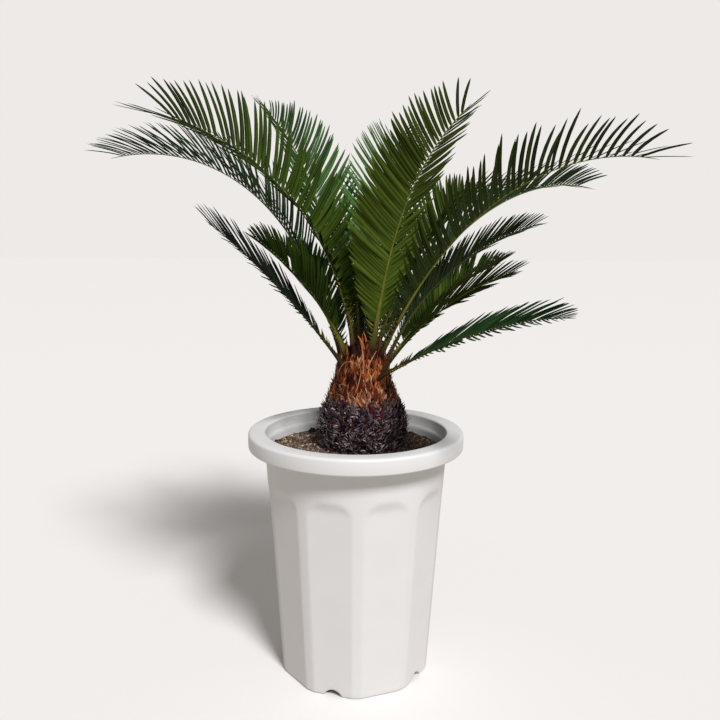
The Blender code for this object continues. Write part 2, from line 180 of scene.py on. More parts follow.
world = bpy.data.worlds.new("studio")
world.use_nodes = True
bpy.context.scene.world = world
sky_tree = world.node_tree
sky = sky_tree.nodes["Background"].inputs
seen = add_node(sky_tree, "LightPath").outputs["Is Camera Ray"]
feed(sky_tree, sky["Color"], mixed(sky_tree, seen, SKY_LIGHT, SKY_SEEN))
feed(sky_tree, sky["Strength"], mapped(sky_tree, seen, SKY_SHINES, SKY_LOOKS))
bpy.context.scene.view_settings.view_transform = "Standard"
print("sun", SUN_STRENGTH, "sky", SKY_SHINES)

# %% [markdown]
# ## Shared effects
#
# Nothing that grows is one flat colour. Two effects are used by many materials, so each is a node group
# that is built once. "Patches" is a soft noise that moves between two colours and also gives its own
# value, for roughness and bump. "Grain lines" is the same noise stretched along one axis, for the
# streaks in the sheaths, the wool and the felt.

# %% Build the patches and the grain lines
NOISE_DETAIL = 4.0


def noise_between_colours(name, stretch):
    """A noise on Object coordinates, stretched by three factors, that mixes two colours."""
    group = bpy.data.node_groups.new(name, "ShaderNodeTree")
    for side, sockets in (
        ("INPUT", (("Scale", "Float"), ("Contrast", "Float"), ("Colour A", "Color"), ("Colour B", "Color"))),
        ("OUTPUT", (("Color", "Color"), ("Value", "Float"))),
    ):
        for label, kind in sockets:
            group.interface.new_socket(label, in_out=side, socket_type="NodeSocket" + kind)
    given = group.nodes.new("NodeGroupInput").outputs
    result = group.nodes.new("NodeGroupOutput").inputs
    place = add_node(group, "TexCoord").outputs["Object"]
    place = add_node(group, "Mapping", {"Vector": place, "Scale": stretch}).outputs["Vector"]
    texture = add_node(group, "TexNoise", {"Vector": place, "Scale": given["Scale"], "Detail": NOISE_DETAIL})
    low, high = (
        add_node(group, "Math", {0: 0.5, 1: given["Contrast"]}, operation=way).outputs["Value"]
        for way in ("SUBTRACT", "ADD")
    )
    value = add_node(group, "MapRange", {"Value": texture.outputs["Fac"], "From Min": low, "From Max": high})
    feed(group, result["Color"], mixed(group, value.outputs["Result"], given["Colour A"], given["Colour B"]))
    feed(group, result["Value"], value.outputs["Result"])
    return group


patches = noise_between_colours("patches", (1.0, 1.0, 1.0))
grain_lines = noise_between_colours("grain_lines", (6.0, 6.0, 1.0))
print("groups:", [group.name for group in bpy.data.node_groups])

# %% [markdown]
# ## One way to finish a surface
#
# Every finish here has the same parts: two colours in patches, a roughness that changes with the same
# patches, and a fine bump. So one function builds them, and each material names its own values. Three
# more read what the copies of a blade carry, a tone and a UV map, and turn it into shades.

# %% Define the finish
COAT_ROUGHNESS = 0.25
BUMP_DEPTH = 0.001


def finish(name, colours, scale, contrast, roughness, bump, group=None, coat=0.0, specular=0.5):
    """A material of two mottled colours, with roughness and bump from the same pattern."""
    made = plain_material(name, colours[0], roughness[0])
    tree = made.node_tree
    values = {"Scale": scale, "Contrast": contrast, "Colour A": colours[0], "Colour B": colours[1]}
    pattern = add_node(tree, "Group", values, node_tree=group or patches, name="pattern").outputs
    relief = add_node(tree, "Bump", {"Strength": bump, "Distance": BUMP_DEPTH, "Height": pattern["Value"]})
    set_shader(made, {
        "Base Color": pattern["Color"],
        "Roughness": mapped(tree, pattern["Value"], *roughness),
        "Normal": relief.outputs["Normal"],
        "Coat Weight": coat,
        "Coat Roughness": COAT_ROUGHNESS,
        "Specular IOR Level": specular,
    })
    return made


def tone_value(tree):
    """The tone that each joined copy carries."""
    return add_node(tree, "Attribute", attribute_name="tone").outputs["Fac"]


def blade_value(tree, socket):
    """The UV map's place along a blade with X, or across it with Y."""
    uv = add_node(tree, "UVMap", uv_map="UVMap").outputs["UV"]
    return add_node(tree, "SeparateXYZ", {"Vector": uv}).outputs[socket]


def ramp(tree, value, *stops):
    """A value turned into a shade by stops, each a place with a grey or a colour."""
    node = add_node(tree, "ValToRGB", {"Fac": value})
    while len(node.color_ramp.elements) < len(stops):
        node.color_ramp.elements.new(0.5)
    for element, (place, shade) in zip(node.color_ramp.elements, stops):
        element.position = place
        element.color = (*shade, 1.0) if isinstance(shade, tuple) else (shade, shade, shade, 1.0)
    return node.outputs["Color"]


white_plastic = finish(
    "white plastic", ((0.700, 0.695, 0.692), (0.725, 0.721, 0.718)),
    scale=24.0, contrast=0.30, roughness=(0.34, 0.42), bump=0.02, specular=0.45,
)
print("finish:", white_plastic.name)

# %% [markdown]
# ## The pot
#
# The pot is moulded plastic. Its upper part is round, and below a shoulder it has ten flat facets with
# narrow rounded ridges between them. A lathe shape is the quickest start: the wall's outline is drawn
# once and spun round the axis. The facets are then pressed in, by moving each wall point to the flat
# that lies behind it. A smooth minimum keeps the ridges' edges soft, as a mould leaves them.

# %% Set the pot's sizes
POT_HEIGHT = 0.345
RIM_RADIUS = 0.150
RIM_INNER_RADIUS = 0.126
RIM_BAND = 0.022
NECK_RADIUS = 0.1265
NECK_HEIGHT = 0.315
FOOT_RADIUS = 0.106
WALL = 0.003
FACETS = 10
FIRST_RIDGE = 2.0
RIDGE_HALF_ANGLE = 3.6
FACET_TOP = 0.279
FACET_RUN_IN = 0.29
FACET_CORNER = 0.017
CORNER_POWER = 2.8
FACET_SOFTNESS = 0.0005
NOTCH_RADIUS = 0.014
NOTCH_HEIGHT = 0.009
NOTCH_EDGE = 0.0012
NOTCH_RIM_DEPTH = 0.0075
POT_SHARP = math.radians(38)
DRAIN_RADIUS = 0.006
DRAIN_CIRCLE = 0.060
DRAINS = 5
POT_STEPS = 360
FACET_PITCH = 360.0 / FACETS


def body_radius(height):
    """The round body's radius, before the facets are pressed in."""
    return FOOT_RADIUS + (NECK_RADIUS - FOOT_RADIUS) * height / NECK_HEIGHT


def facet_depth(bearing, height):
    """How far behind the round body a facet's surface lies, and 0 on a ridge or above the facets."""
    half = FACET_PITCH / 2 - RIDGE_HALF_ANGLE
    off_middle = abs((bearing - FIRST_RIDGE) % FACET_PITCH - FACET_PITCH / 2)
    full = body_radius(height)
    flat = full * (1 - math.cos(math.radians(half)) / math.cos(math.radians(min(off_middle, half))))
    corner = FACET_CORNER * min(off_middle / half, 1.0) ** CORNER_POWER
    run_in = FACET_RUN_IN * (FACET_TOP - corner - height)
    soft = FACET_SOFTNESS
    lower = -soft * math.log(math.exp(-flat / soft) + math.exp(-max(run_in, -soft) / soft))
    return max(0.0, lower) if off_middle < half + 2 else 0.0


print("facet depth in its middle", round(facet_depth(FIRST_RIDGE + FACET_PITCH / 2, 0.1) * 1000, 2), "mm")

# %% [markdown]
# The outline runs from the middle of the raised floor, under the foot, up the outer wall, round the
# rolled rim and down the inner wall. Rounded corners are short arcs, worked out from a centre, a radius
# and two angles. The long straight walls get extra points, because the facets need them to bend. The
# small numbers are the offsets of each corner from the named sizes.

# %% Draw the pot's outline
FLOOR_BOTTOM = 0.012
FLOOR_TOP = 0.016
STEP_RADIUS = 0.1230
STEP_DROP = 0.018
WALL_STEP = 0.004


def arc(centre, radius, start, end, steps=5):
    """Points on a circle's arc in the plane of the outline; angles in degrees from straight out."""
    angles = [math.radians(start + (end - start) * i / steps) for i in range(steps + 1)]
    return [(centre[0] + radius * math.cos(a), centre[1] + radius * math.sin(a)) for a in angles]


def straight(start, end, step=WALL_STEP):
    """Evenly spaced points between two ends, which are left out."""
    count = max(1, round(math.dist(start, end) / step))
    share = [i / count for i in range(1, count)]
    return [(start[0] + (end[0] - start[0]) * s, start[1] + (end[1] - start[1]) * s) for s in share]


def pot_outline():
    """The wall's section, from the floor's middle round to the floor's middle."""
    rim_bottom = POT_HEIGHT - RIM_BAND
    inner_neck = POT_HEIGHT - STEP_DROP
    foot = [(FOOT_RADIUS - 0.0070, FLOOR_BOTTOM), (FOOT_RADIUS - 0.0050, 0.0), (FOOT_RADIUS - 0.0024, 0.0)]
    foot += arc((FOOT_RADIUS - 0.0024, 0.0026), 0.0026, -60, 0, 3)
    neck = (NECK_RADIUS, NECK_HEIGHT)
    wall = straight(foot[-1], neck) + [neck]
    flare = arc((NECK_RADIUS + 0.0085, rim_bottom - 0.0080), 0.0080, 180, 90, 5)
    under = [(RIM_RADIUS - 0.0068, rim_bottom + 0.0030), (RIM_RADIUS - 0.0054, rim_bottom + 0.0026)]
    rim = arc((RIM_RADIUS - 0.0026, rim_bottom + 0.0024), 0.0024, -120, 0)
    rim += arc((RIM_RADIUS - 0.0042, POT_HEIGHT - 0.0042), 0.0042, 0, 90)
    rim += [((RIM_RADIUS + RIM_INNER_RADIUS) / 2, POT_HEIGHT)]
    rim += arc((RIM_INNER_RADIUS + 0.0030, POT_HEIGHT - 0.0030), 0.0030, 90, 180)
    step = [(RIM_INNER_RADIUS - 0.0009, POT_HEIGHT - 0.0140)]
    step += [(RIM_INNER_RADIUS - 0.0016, POT_HEIGHT - 0.0152)]
    step += [(STEP_RADIUS + 0.0008, inner_neck + 0.0012), (STEP_RADIUS, inner_neck)]
    bottom = (body_radius(FLOOR_TOP) - WALL, FLOOR_TOP)
    inside = straight(step[-1], bottom) + [bottom]
    below = [(0.0, FLOOR_BOTTOM), (DRAIN_CIRCLE, FLOOR_BOTTOM)]
    above = [(DRAIN_CIRCLE, FLOOR_TOP), (0.0, FLOOR_TOP)]
    return below + foot + wall + flare + under + rim + step + inside + above


print("outline:", len(pot_outline()), "points")

# %% [markdown]
# Spinning the outline gives a plain round pot. Each point below the shoulder then moves inwards by the
# facet's depth, outside and inside alike, so the wall keeps its thickness. The arched notches at the
# foot are lifted into the ring that the pot stands on. The drain holes go right through the floor, so a
# Boolean cuts them.

# %% Spin, press and notch the pot
def lathe(outline, steps, merge=1e-6):
    """A bmesh spun round the Z axis from points of radius and height."""
    bm = bmesh.new()
    points = [bm.verts.new((radius, 0.0, height)) for radius, height in outline]
    edges = [bm.edges.new(pair) for pair in zip(points, points[1:])]
    turn = {"cent": (0, 0, 0), "axis": (0, 0, 1), "angle": math.tau, "steps": steps, "use_merge": True}
    bmesh.ops.spin(bm, geom=points + edges, **turn)
    bmesh.ops.remove_doubles(bm, verts=bm.verts, dist=merge)
    return bm


def bearing_of(place):
    """Degrees from the front, -Y, towards +X."""
    return math.degrees(math.atan2(place.x, -place.y))


def press_facets(vert):
    """Move a wall point inwards to the facet behind it."""
    reach = math.hypot(vert.co.x, vert.co.y)
    share = (reach - facet_depth(bearing_of(vert.co), vert.co.z)) / reach
    vert.co.x *= share
    vert.co.y *= share


def notch_lift(bearing):
    """The arch's height over the table at a bearing, or 0 between the notches."""
    pitch = 2 * FACET_PITCH
    off = (bearing - (FIRST_RIDGE - FACET_PITCH / 2) + pitch / 2) % pitch - pitch / 2
    along = math.radians(off) * FOOT_RADIUS
    if abs(along) >= NOTCH_RADIUS:
        return 0.0
    return max(0.0, math.sqrt(NOTCH_RADIUS**2 - along**2) - (NOTCH_RADIUS - NOTCH_HEIGHT))


def make_pot():
    bm = lathe(pot_outline(), POT_STEPS)
    for vert in bm.verts:
        reach = math.hypot(vert.co.x, vert.co.y)
        if reach < DRAIN_CIRCLE + 0.01 or vert.co.z > NECK_HEIGHT:
            continue
        lift = notch_lift(bearing_of(vert.co))
        press_facets(vert)
        if vert.co.z < lift and reach > body_radius(vert.co.z) - NOTCH_RIM_DEPTH:
            vert.co.z = lift + NOTCH_EDGE * (vert.co.z / NOTCH_HEIGHT)
    bmesh.ops.recalc_face_normals(bm, faces=bm.faces)
    pot = link_mesh("pot_shell", bm, [white_plastic])
    cutters = bmesh.new()
    for i in range(DRAINS):
        turn = math.radians(FIRST_RIDGE + 360.0 / DRAINS * i)
        place = (math.sin(turn) * DRAIN_CIRCLE, -math.cos(turn) * DRAIN_CIRCLE, FLOOR_TOP)
        hole = {"segments": 32, "radius1": DRAIN_RADIUS, "radius2": DRAIN_RADIUS, "depth": 0.03}
        bmesh.ops.create_cone(cutters, cap_ends=True, matrix=Matrix.Translation(place), **hole)
    cutter = link_mesh("drain_cutter", cutters, [])
    pot.modifiers.new("drains", "BOOLEAN").object = cutter
    evaluated = pot.evaluated_get(bpy.context.evaluated_depsgraph_get())
    finished = bpy.data.meshes.new_from_object(evaluated)
    pot.modifiers.clear()
    pot.data = finished
    bpy.data.objects.remove(cutter)
    pot.data.shade_smooth()
    pot.data.set_sharp_from_angle(angle=POT_SHARP)
    return pot


pot = make_pot()
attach(pot, "root")
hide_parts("pot")
print("pot:", len(pot.data.polygons), "faces")

# %% [markdown]
# ## Many small things from one shape
#
# A frond's leaflets, the scales on the trunk and the thorns on the leaf stalks are all blades: narrow
# solids that leave in one direction and curve towards another. Modelling each by hand would take days.
# So one blade is drawn out through a few rings of points, at unit size along Y. Every copy then bends
# it along its own curve with arrays of numbers, and all copies of a kind become one joined mesh. Each
# copy also gets a tone between 0 and 1, so that neighbours differ a little in colour.

# %% Define blades and joined copies
BLADE_SHARP = math.radians(50)


class Template:
    """A small solid whose copies are joined: its points, faces, face slots and UV."""

    def __init__(self, bm, two_faced=False):
        bmesh.ops.recalc_face_normals(bm, faces=bm.faces)
        bm.verts.index_update()
        self.points = np.array([vert.co[:] for vert in bm.verts])
        self.corners = np.array([vert.index for face in bm.faces for vert in face.verts])
        self.sizes = np.array([len(face.verts) for face in bm.faces])
        self.slots = np.array([int(two_faced and face.normal.z <= 0.1) for face in bm.faces])
        self.uv = np.stack([self.points[:, 1], self.points[:, 0] / 2 + 0.5], axis=1)
        bm.free()


def drawn_out(rings):
    """A closed solid drawn out through rings of points."""
    bm = bmesh.new()
    face = bm.faces.new([bm.verts.new(place) for place in rings[0]])
    start = list(face.verts)
    for ring in rings[1:]:
        face = bmesh.ops.extrude_discrete_faces(bm, faces=[face])["faces"][0]
        for vert, place in zip(face.verts, ring):
            vert.co = place
    bm.faces.new(reversed(start))
    return bm


def blade(section, stations, two_faced=False):
    """A unit blade: its section in half widths, and (place along, width) at each station."""
    rings = [[(x * wide, along, z * wide) for x, z in section] for along, wide in stations]
    return Template(drawn_out(rings), two_faced)


def direction(bearing, rise):
    """The unit vector at a bearing and a height angle, for single values or arrays."""
    turn = np.radians(bearing)
    up = np.radians(rise)
    return np.stack([np.cos(up) * np.sin(turn), -np.cos(up) * np.cos(turn), np.sin(up)], axis=-1)


def unit(vectors):
    return vectors / np.linalg.norm(vectors, axis=-1, keepdims=True)


def bent_copies(template, root, start, end, up, length, half_width, twist):
    """Copies of a blade that leave root along start and curve to end; one row per copy."""
    along_share = template.points[:, 1][None, :, None]
    start = start[:, None]
    curve = end[:, None] - start
    reach = length[:, None, None]
    centre = root[:, None] + reach * (start * along_share + curve * along_share**2 / 2)
    along = unit(start + curve * along_share)
    across = unit(np.cross(along, np.broadcast_to(up[:, None], along.shape)))
    above = np.cross(across, along)
    angle = twist[:, None, None] * along_share
    turned = across * np.cos(angle) + above * np.sin(angle)
    lifted = above * np.cos(angle) - across * np.sin(angle)
    offset = turned * template.points[:, 0][None, :, None] + lifted * template.points[:, 2][None, :, None]
    return centre + offset * half_width[:, None, None]


def joined(name, template, copies, tone, looks, smooth=True):
    """All copies of a template as one mesh object with UV, slots and a tone per copy."""
    count, points = copies.shape[:2]
    corners = (template.corners[None] + points * np.arange(count)[:, None]).ravel()
    ends = np.cumsum(np.tile(template.sizes, count))
    mesh = bpy.data.meshes.new(name)
    mesh.vertices.add(count * points)
    mesh.vertices.foreach_set("co", copies.ravel().astype(np.float32))
    mesh.loops.add(len(corners))
    mesh.loops.foreach_set("vertex_index", corners.astype(np.int32))
    mesh.polygons.add(len(ends))
    mesh.polygons.foreach_set("loop_start", np.concatenate([[0], ends[:-1]]).astype(np.int32))
    mesh.polygons.foreach_set("material_index", np.tile(template.slots, count).astype(np.int32))
    layer = mesh.uv_layers.new(name="UVMap")
    uv = np.tile(template.uv[template.corners], (count, 1))
    layer.data.foreach_set("uv", uv.ravel().astype(np.float32))
    shade = mesh.attributes.new("tone", "FLOAT", "POINT")
    shade.data.foreach_set("value", np.repeat(np.clip(tone, 0, 1), points).astype(np.float32))
    mesh.update(calc_edges=True)
    for look in looks:
        mesh.materials.append(look)
    if smooth:
        mesh.shade_smooth()
        mesh.set_sharp_from_angle(angle=BLADE_SHARP)
    made = bpy.data.objects.new(name, mesh)
    bpy.context.scene.collection.objects.link(made)
    return made


print("blades ready")

# %% [markdown]
# ## Colours that follow a tone
#
# Soil crumbs, scales and fibres all come in a handful of shades at random. Instead of one material for
# each shade, one material reads the copy's tone and looks the shade up in a small list. Pale edges are
# the other thing that dry plant parts share, so the UV map's place across a blade can mix them in.

# %% Define materials that follow the tone
TONED_CONTRAST = 0.25
TONED_SPECULAR = 0.15
EDGE_SHARE = 0.9


def toned_material(name, colours, roughness, bump, scale, group=None, edge=None, depth=(0.55, 1.25)):
    """A mottled material whose shade is the copy's tone; an edge is a pale colour and its width."""
    ends = (colours[0], colours[-1])
    made = finish(name, ends, scale, TONED_CONTRAST, roughness, bump, group, specular=TONED_SPECULAR)
    tree = made.node_tree
    stops = [(number / (len(colours) - 1), colour) for number, colour in enumerate(colours)]
    shadow = mapped(tree, tree.nodes["pattern"].outputs["Value"], *depth)
    colour = mixed(tree, 1.0, ramp(tree, tone_value(tree), *stops), shadow, "MULTIPLY")
    if edge:
        pale, width = edge
        ends = ((0.0, EDGE_SHARE), (width, 0.0), (1 - width, 0.0), (1.0, EDGE_SHARE))
        colour = mixed(tree, ramp(tree, blade_value(tree, "Y"), *ends), colour, pale)
    set_shader(made, {"Base Color": colour})
    return made


print("tones ready")

# %% [markdown]
# ## The soil
#
# The soil is a body of its own, because the pot's drain holes and the gap at the wall let some of it be
# seen. It is spun like the pot and pressed to the same facets, a hair's breadth inside the wall. On top
# lie thousands of crumbs. Each is a rough twenty-sided stone, turned and stretched at random. Tan
# crumbs lie mostly on the left, and the soil on the right is dark, partly its own colour and partly
# painted shade.

# %% Make the soil
SOIL_GAP = 0.0009
SOIL_EDGE = 0.317
SOIL_MIDDLE = 0.322
SOIL_BOTTOM = 0.0168
SOIL_STEPS = 180
CRUMBS = 5200
CRUMB_SIZES = (0.0009, 0.0026)
CRUMB_RING = (0.045, 0.1195)
CRUMB_SHADES = ((0.022, 0.013, 0.010), (0.085, 0.052, 0.034), (0.260, 0.185, 0.130), (0.560, 0.460, 0.360))
PALE_SIDE = -0.015
PALE_FADES = 0.016
LUMP_PLACE = (-0.066, 0.074)
LUMP_SIZE = 0.0050
SMALL_LUMPS = 9
SMALL_LUMPS_PLACE = (-0.090, 0.050)


def inner_radius(height):
    """The pot's inside, before the facets."""
    share = (height - FLOOR_TOP) / (NECK_HEIGHT + 0.012 - FLOOR_TOP)
    return body_radius(FLOOR_TOP) - WALL + (STEP_RADIUS - body_radius(FLOOR_TOP) + WALL) * share


def soil_height(x, y):
    """The soil's surface, slightly domed and uneven."""
    out = min(1.0, math.hypot(x, y) / inner_radius(SOIL_EDGE))
    waves = noise.noise(Vector((x, y, 0.0)) * 28) * 0.0022 + noise.noise(Vector((x, y, 3.0)) * 90) * 0.0008
    return SOIL_MIDDLE + (SOIL_EDGE - SOIL_MIDDLE) * out**2 + waves


def make_soil_bed(look):
    top = inner_radius(SOIL_EDGE) - SOIL_GAP
    low = (inner_radius(SOIL_BOTTOM) - SOIL_GAP, SOIL_BOTTOM)
    outline = [(0.0, SOIL_BOTTOM), low] + straight(low, (top, SOIL_EDGE), 0.012) + [(top, SOIL_EDGE)]
    outline += straight((top, SOIL_EDGE), (0.0, SOIL_EDGE), 0.003) + [(0.0, SOIL_EDGE)]
    bm = lathe(outline, SOIL_STEPS)
    for vert in bm.verts:
        if vert.co.z > SOIL_EDGE - 1e-6:
            vert.co.z = soil_height(vert.co.x, vert.co.y)
        elif math.hypot(vert.co.x, vert.co.y) > 0.01:
            press_facets(vert)
    bmesh.ops.recalc_face_normals(bm, faces=bm.faces)
    bed = link_mesh("soil_bed", bm, [look])
    bed.data.shade_smooth()
    return bed


def turned_copies(template, places, sizes, rng):
    """Copies of a lump, each turned and stretched at random."""
    count = len(places)
    turns = np.linalg.qr(rng.normal(size=(count, 3, 3)))[0]
    turns *= np.sign(np.linalg.det(turns))[:, None, None]
    stretch = rng.uniform(0.6, 1.25, (count, 1, 3))
    rough = rng.normal(1.0, 0.12, (count, len(template.points), 1))
    lumps = template.points[None] * stretch * rough * sizes[:, None, None]
    return np.einsum("nij,nvj->nvi", turns, lumps) + places[:, None]


def make_crumbs():
    rng = np.random.default_rng(52)
    lump = bmesh.new()
    bmesh.ops.create_icosphere(lump, subdivisions=1, radius=1.0)
    template = Template(lump)
    out = np.sqrt(rng.uniform(CRUMB_RING[0]**2, CRUMB_RING[1]**2, CRUMBS))
    turn = rng.uniform(0, math.tau, CRUMBS)
    x, y = out * np.cos(turn), out * np.sin(turn)
    sizes = CRUMB_SIZES[0] + (CRUMB_SIZES[1] - CRUMB_SIZES[0]) * rng.random(CRUMBS) ** 2.2
    heights = np.array([soil_height(*place) for place in zip(x, y)]) + sizes * rng.uniform(-0.2, 0.5, CRUMBS)
    copies = turned_copies(template, np.stack([x, y, heights], axis=1), sizes, rng)
    # Pale crumbs on the left; the dark right is partly the soil's own colour and partly painted shade.
    pale = 1 / (1 + np.exp((x - PALE_SIDE) / PALE_FADES))
    tone = 0.12 + 0.42 * pale + rng.normal(0, 0.16, CRUMBS) + 0.35 * (rng.random(CRUMBS) < 0.08 * pale)
    look = toned_material("soil", CRUMB_SHADES, roughness=(0.80, 0.95), bump=0.30, scale=260.0)
    crumbs = joined("soil_crumbs", template, copies, tone, [look], smooth=False)
    small = rng.uniform(-1, 1, (SMALL_LUMPS, 2)) * 0.028 + np.array(SMALL_LUMPS_PLACE)
    places = [(*LUMP_PLACE, soil_height(*LUMP_PLACE) + LUMP_SIZE * 0.6)]
    places += [(px, py, soil_height(px, py) + 0.001) for px, py in small]
    sizes = np.array([LUMP_SIZE] + [CRUMB_SIZES[1]] * SMALL_LUMPS)
    tone = np.array([0.0] + [0.15] * SMALL_LUMPS)
    large = turned_copies(template, np.array(places), sizes, rng)
    return [crumbs, joined("soil_lumps", template, large, tone, [look], smooth=False)]


bed_look = finish(
    "soil bed", ((0.030, 0.019, 0.014), (0.060, 0.040, 0.028)),
    scale=90.0, contrast=0.2, roughness=(0.9, 1.0), bump=0.3,
)
for piece in [make_soil_bed(bed_look)] + make_crumbs():
    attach(piece, "root")
    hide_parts("soil")
    print(piece.name, len(piece.data.polygons), "faces")

# %% [markdown]
# ## The trunk's body
#
# A cycad has no bark like a tree's. Its trunk is a core of stem, hidden under the stubs of old leaves.
# The core is spun from a smooth profile, a bulb that narrows to a neck with the crown's dome on top. It
# is made slightly thin and roughened, so that the scales added next stand out of it.

# %% Spin the trunk's core
TRUNK_AXIS = np.array((0.009, 0.0, 0.0))
TRUNK_PROFILE = (
    (0.0570, 0.3225), (0.0615, 0.342), (0.0620, 0.357), (0.0560, 0.373), (0.0480, 0.387), (0.0400, 0.406),
)
CROWN_RADIUS = 0.0360
CROWN_RISE = 0.0420
CROWN_CENTRE = 0.424
CORE_INSET = 0.0035
CORE_BOTTOM = 0.3150
CORE_STEPS = 96


def trunk_radius(height):
    """The trunk's radius over its scales, at one height or an array of heights."""
    height = np.asarray(height, dtype=float)
    profile = np.array(TRUNK_PROFILE)
    bulb = np.interp(height, profile[:, 1], profile[:, 0])
    dome = CROWN_RADIUS * np.sqrt(np.clip(1 - ((height - CROWN_CENTRE) / CROWN_RISE) ** 2, 0.0, 1.0))
    blend = np.clip((height - profile[-1, 1]) / (CROWN_CENTRE - profile[-1, 1]), 0, 1)
    neck = profile[-1, 0] + (CROWN_RADIUS - profile[-1, 0]) * blend
    return np.where(height < profile[-1, 1], bulb, np.where(height < CROWN_CENTRE, neck, dome))


def make_core():
    heights = np.linspace(CORE_BOTTOM, 0.44, 44)
    heights = np.concatenate([heights, 0.44 + 0.0225 * np.sin(np.linspace(0.1, 1.57, 9))])
    outline = [(max(0.0, float(trunk_radius(z)) - CORE_INSET), z) for z in heights]
    bm = lathe([(0.0, CORE_BOTTOM)] + outline + [(0.0, heights[-1])], CORE_STEPS, merge=1e-5)
    for vert in bm.verts:
        swell = 1 + 0.05 * noise.noise(vert.co * 90) + 0.03 * noise.noise(vert.co * 240)
        vert.co.x = vert.co.x * swell + float(TRUNK_AXIS[0])
        vert.co.y *= swell
    bmesh.ops.recalc_face_normals(bm, faces=bm.faces)
    look = finish(
        "core", ((0.010, 0.004, 0.004), (0.030, 0.010, 0.007)),
        scale=130.0, contrast=0.2, roughness=(0.8, 0.9), bump=0.4, specular=0.1,
    )
    core = link_mesh("trunk_core", bm, [look])
    core.data.shade_smooth()
    return core


trunk_pieces = [make_core()]
print("trunk core:", len(trunk_pieces[0].data.polygons), "faces")

# %% [markdown]
# ## Scales, sheaths and fibres
#
# The bulb is covered with the stubs of old leaves. They have dried to greyish violet plates, with dark
# red patches where they broke. They sit in a spiral, where each one is turned from the last by the
# golden angle, as on a pine cone. Thousands of thin curly strips and some long needles stand off between
# them, and the strips are painted lighter on the left, as painted light from that side. Above a band of
# tan felt the neck is wrapped in broad rust-coloured sheaths, which close over the dome between the
# stalks, and woolly shreds break them into fine streaks; the shreds on the front are painted lighter, as
# painted light. Blotches run through most of these, because no trunk weathers evenly. Each kind is a
# blade that starts on the trunk's surface and has its own size, lean and list of shades.

# %% Define where and how the blades stand
GOLDEN_ANGLE = math.radians(137.50776)
UP = np.array((0.0, 0.0, 1.0))
PLATE = blade(
    (
        (-1.0, -0.16), (-0.5, 0.06), (0.0, 0.14), (0.5, 0.06),
        (1.0, -0.16), (0.5, -0.06), (0.0, 0.02), (-0.5, -0.06),
    ),
    ((0.0, 0.9), (0.25, 1.0), (0.5, 0.95), (0.75, 0.74), (0.92, 0.42), (1.0, 0.08)),
)
STRIP = blade(
    ((-1.0, 0.0), (0.0, 0.35), (1.0, 0.0), (0.0, -0.25)),
    ((0.0, 0.8), (0.3, 1.0), (0.6, 0.8), (0.85, 0.4), (1.0, 0.05)),
)
ROUND = [(math.cos(i * math.tau / 5), math.sin(i * math.tau / 5)) for i in range(5)]
BLOTCH_SIZE = 0.013
BLOTCH_DEPTH = 2


def around_trunk(bearing, height, depth=CORE_INSET):
    """Points a little under the trunk's surface, with the directions out and sideways."""
    out = direction(bearing, 0.0 * bearing)
    side = direction(bearing + 90, 0.0 * bearing)
    places = TRUNK_AXIS + out * (trunk_radius(height) - depth)[:, None]
    places[:, 2] += height
    return places, out, side


def spiral(count, lowest, highest, rng):
    """Bearings and heights in a golden-angle spiral, slightly disturbed."""
    number = np.arange(count)
    height = lowest + (highest - lowest) * (number + 0.5) / count + rng.normal(0, 0.0008, count)
    bearing = np.degrees(number * GOLDEN_ANGLE) % 360 + rng.normal(0, 2.5, count)
    return bearing, height


def column(values):
    return values[:, None]


def blotches(places):
    """Broad lighter and darker blotches over the trunk, from about -1 to 1."""
    return np.array([noise.noise(Vector(place) / BLOTCH_SIZE) for place in places]) * BLOTCH_DEPTH


def leaning(rng, out, side, outwards, sideways, upwards=None):
    """Directions that lean out by a range, sideways by a spread, and up by 1 or by a random share."""
    lean = out * column(rng.uniform(*outwards, len(out)))
    lean += UP if upwards is None else UP * column(upwards(len(out)))
    return unit(lean + side * column(rng.normal(0, sideways, len(out))))


def scattered(template, rng, bearing, height, depth, lean, curl, length, width, twist):
    """Copies that lean at the root and curl at the tip, with their roots and the ways out."""
    root, out, side = around_trunk(bearing, height, depth)
    count = len(root)
    start = leaning(rng, out, side, *lean)
    end = leaning(rng, out, side, *curl)
    sizes = (rng.uniform(*length, count), rng.uniform(*width, count))
    copies = bent_copies(template, root, start, end, out, *sizes, rng.normal(0, twist, count))
    return copies, root, out


print("plate and strip:", len(PLATE.points), len(STRIP.points), "points")

# %% [markdown]
# The kinds that follow start on the bulb and go up the neck to the dome. The felt and the loose fibres,
# which sit where the neck meets the bulb, come last. All lengths and half widths are in metres. A lean or
# a curl gives the range outwards and the spread sideways, where upwards counts as 1, or as a third value
# draws it.

# %% Cover the trunk
PLATES = 700
STRIPS = 3200
STRIPS_PAINTED_LIGHT = 0.26
NEEDLES = 300
NECK_SHEATHS = 84
DOME_SHEATHS = 110
WOOL_SHREDS = 2200
SPIKES = 44
FELT_TUFTS = 760
FIBRES = 200
LAID_FIBRES = (
    ((-0.0230, -0.0330, 0.4330), (0.35, -0.15, 0.92), (0.85, 0.05, -0.75), 0.0520, 0.00042),
    ((0.0060, -0.0410, 0.4300), (-0.15, -0.25, -0.95), (-0.40, -0.12, -0.90), 0.0290, 0.00065),
    ((0.0090, -0.0375, 0.4300), (0.10, -0.10, 0.98), (-0.25, 0.25, 0.95), 0.0430, 0.00110),
    ((0.0150, -0.0370, 0.4370), (0.35, -0.05, 0.93), (0.55, 0.40, 0.80), 0.0270, 0.00095),
)


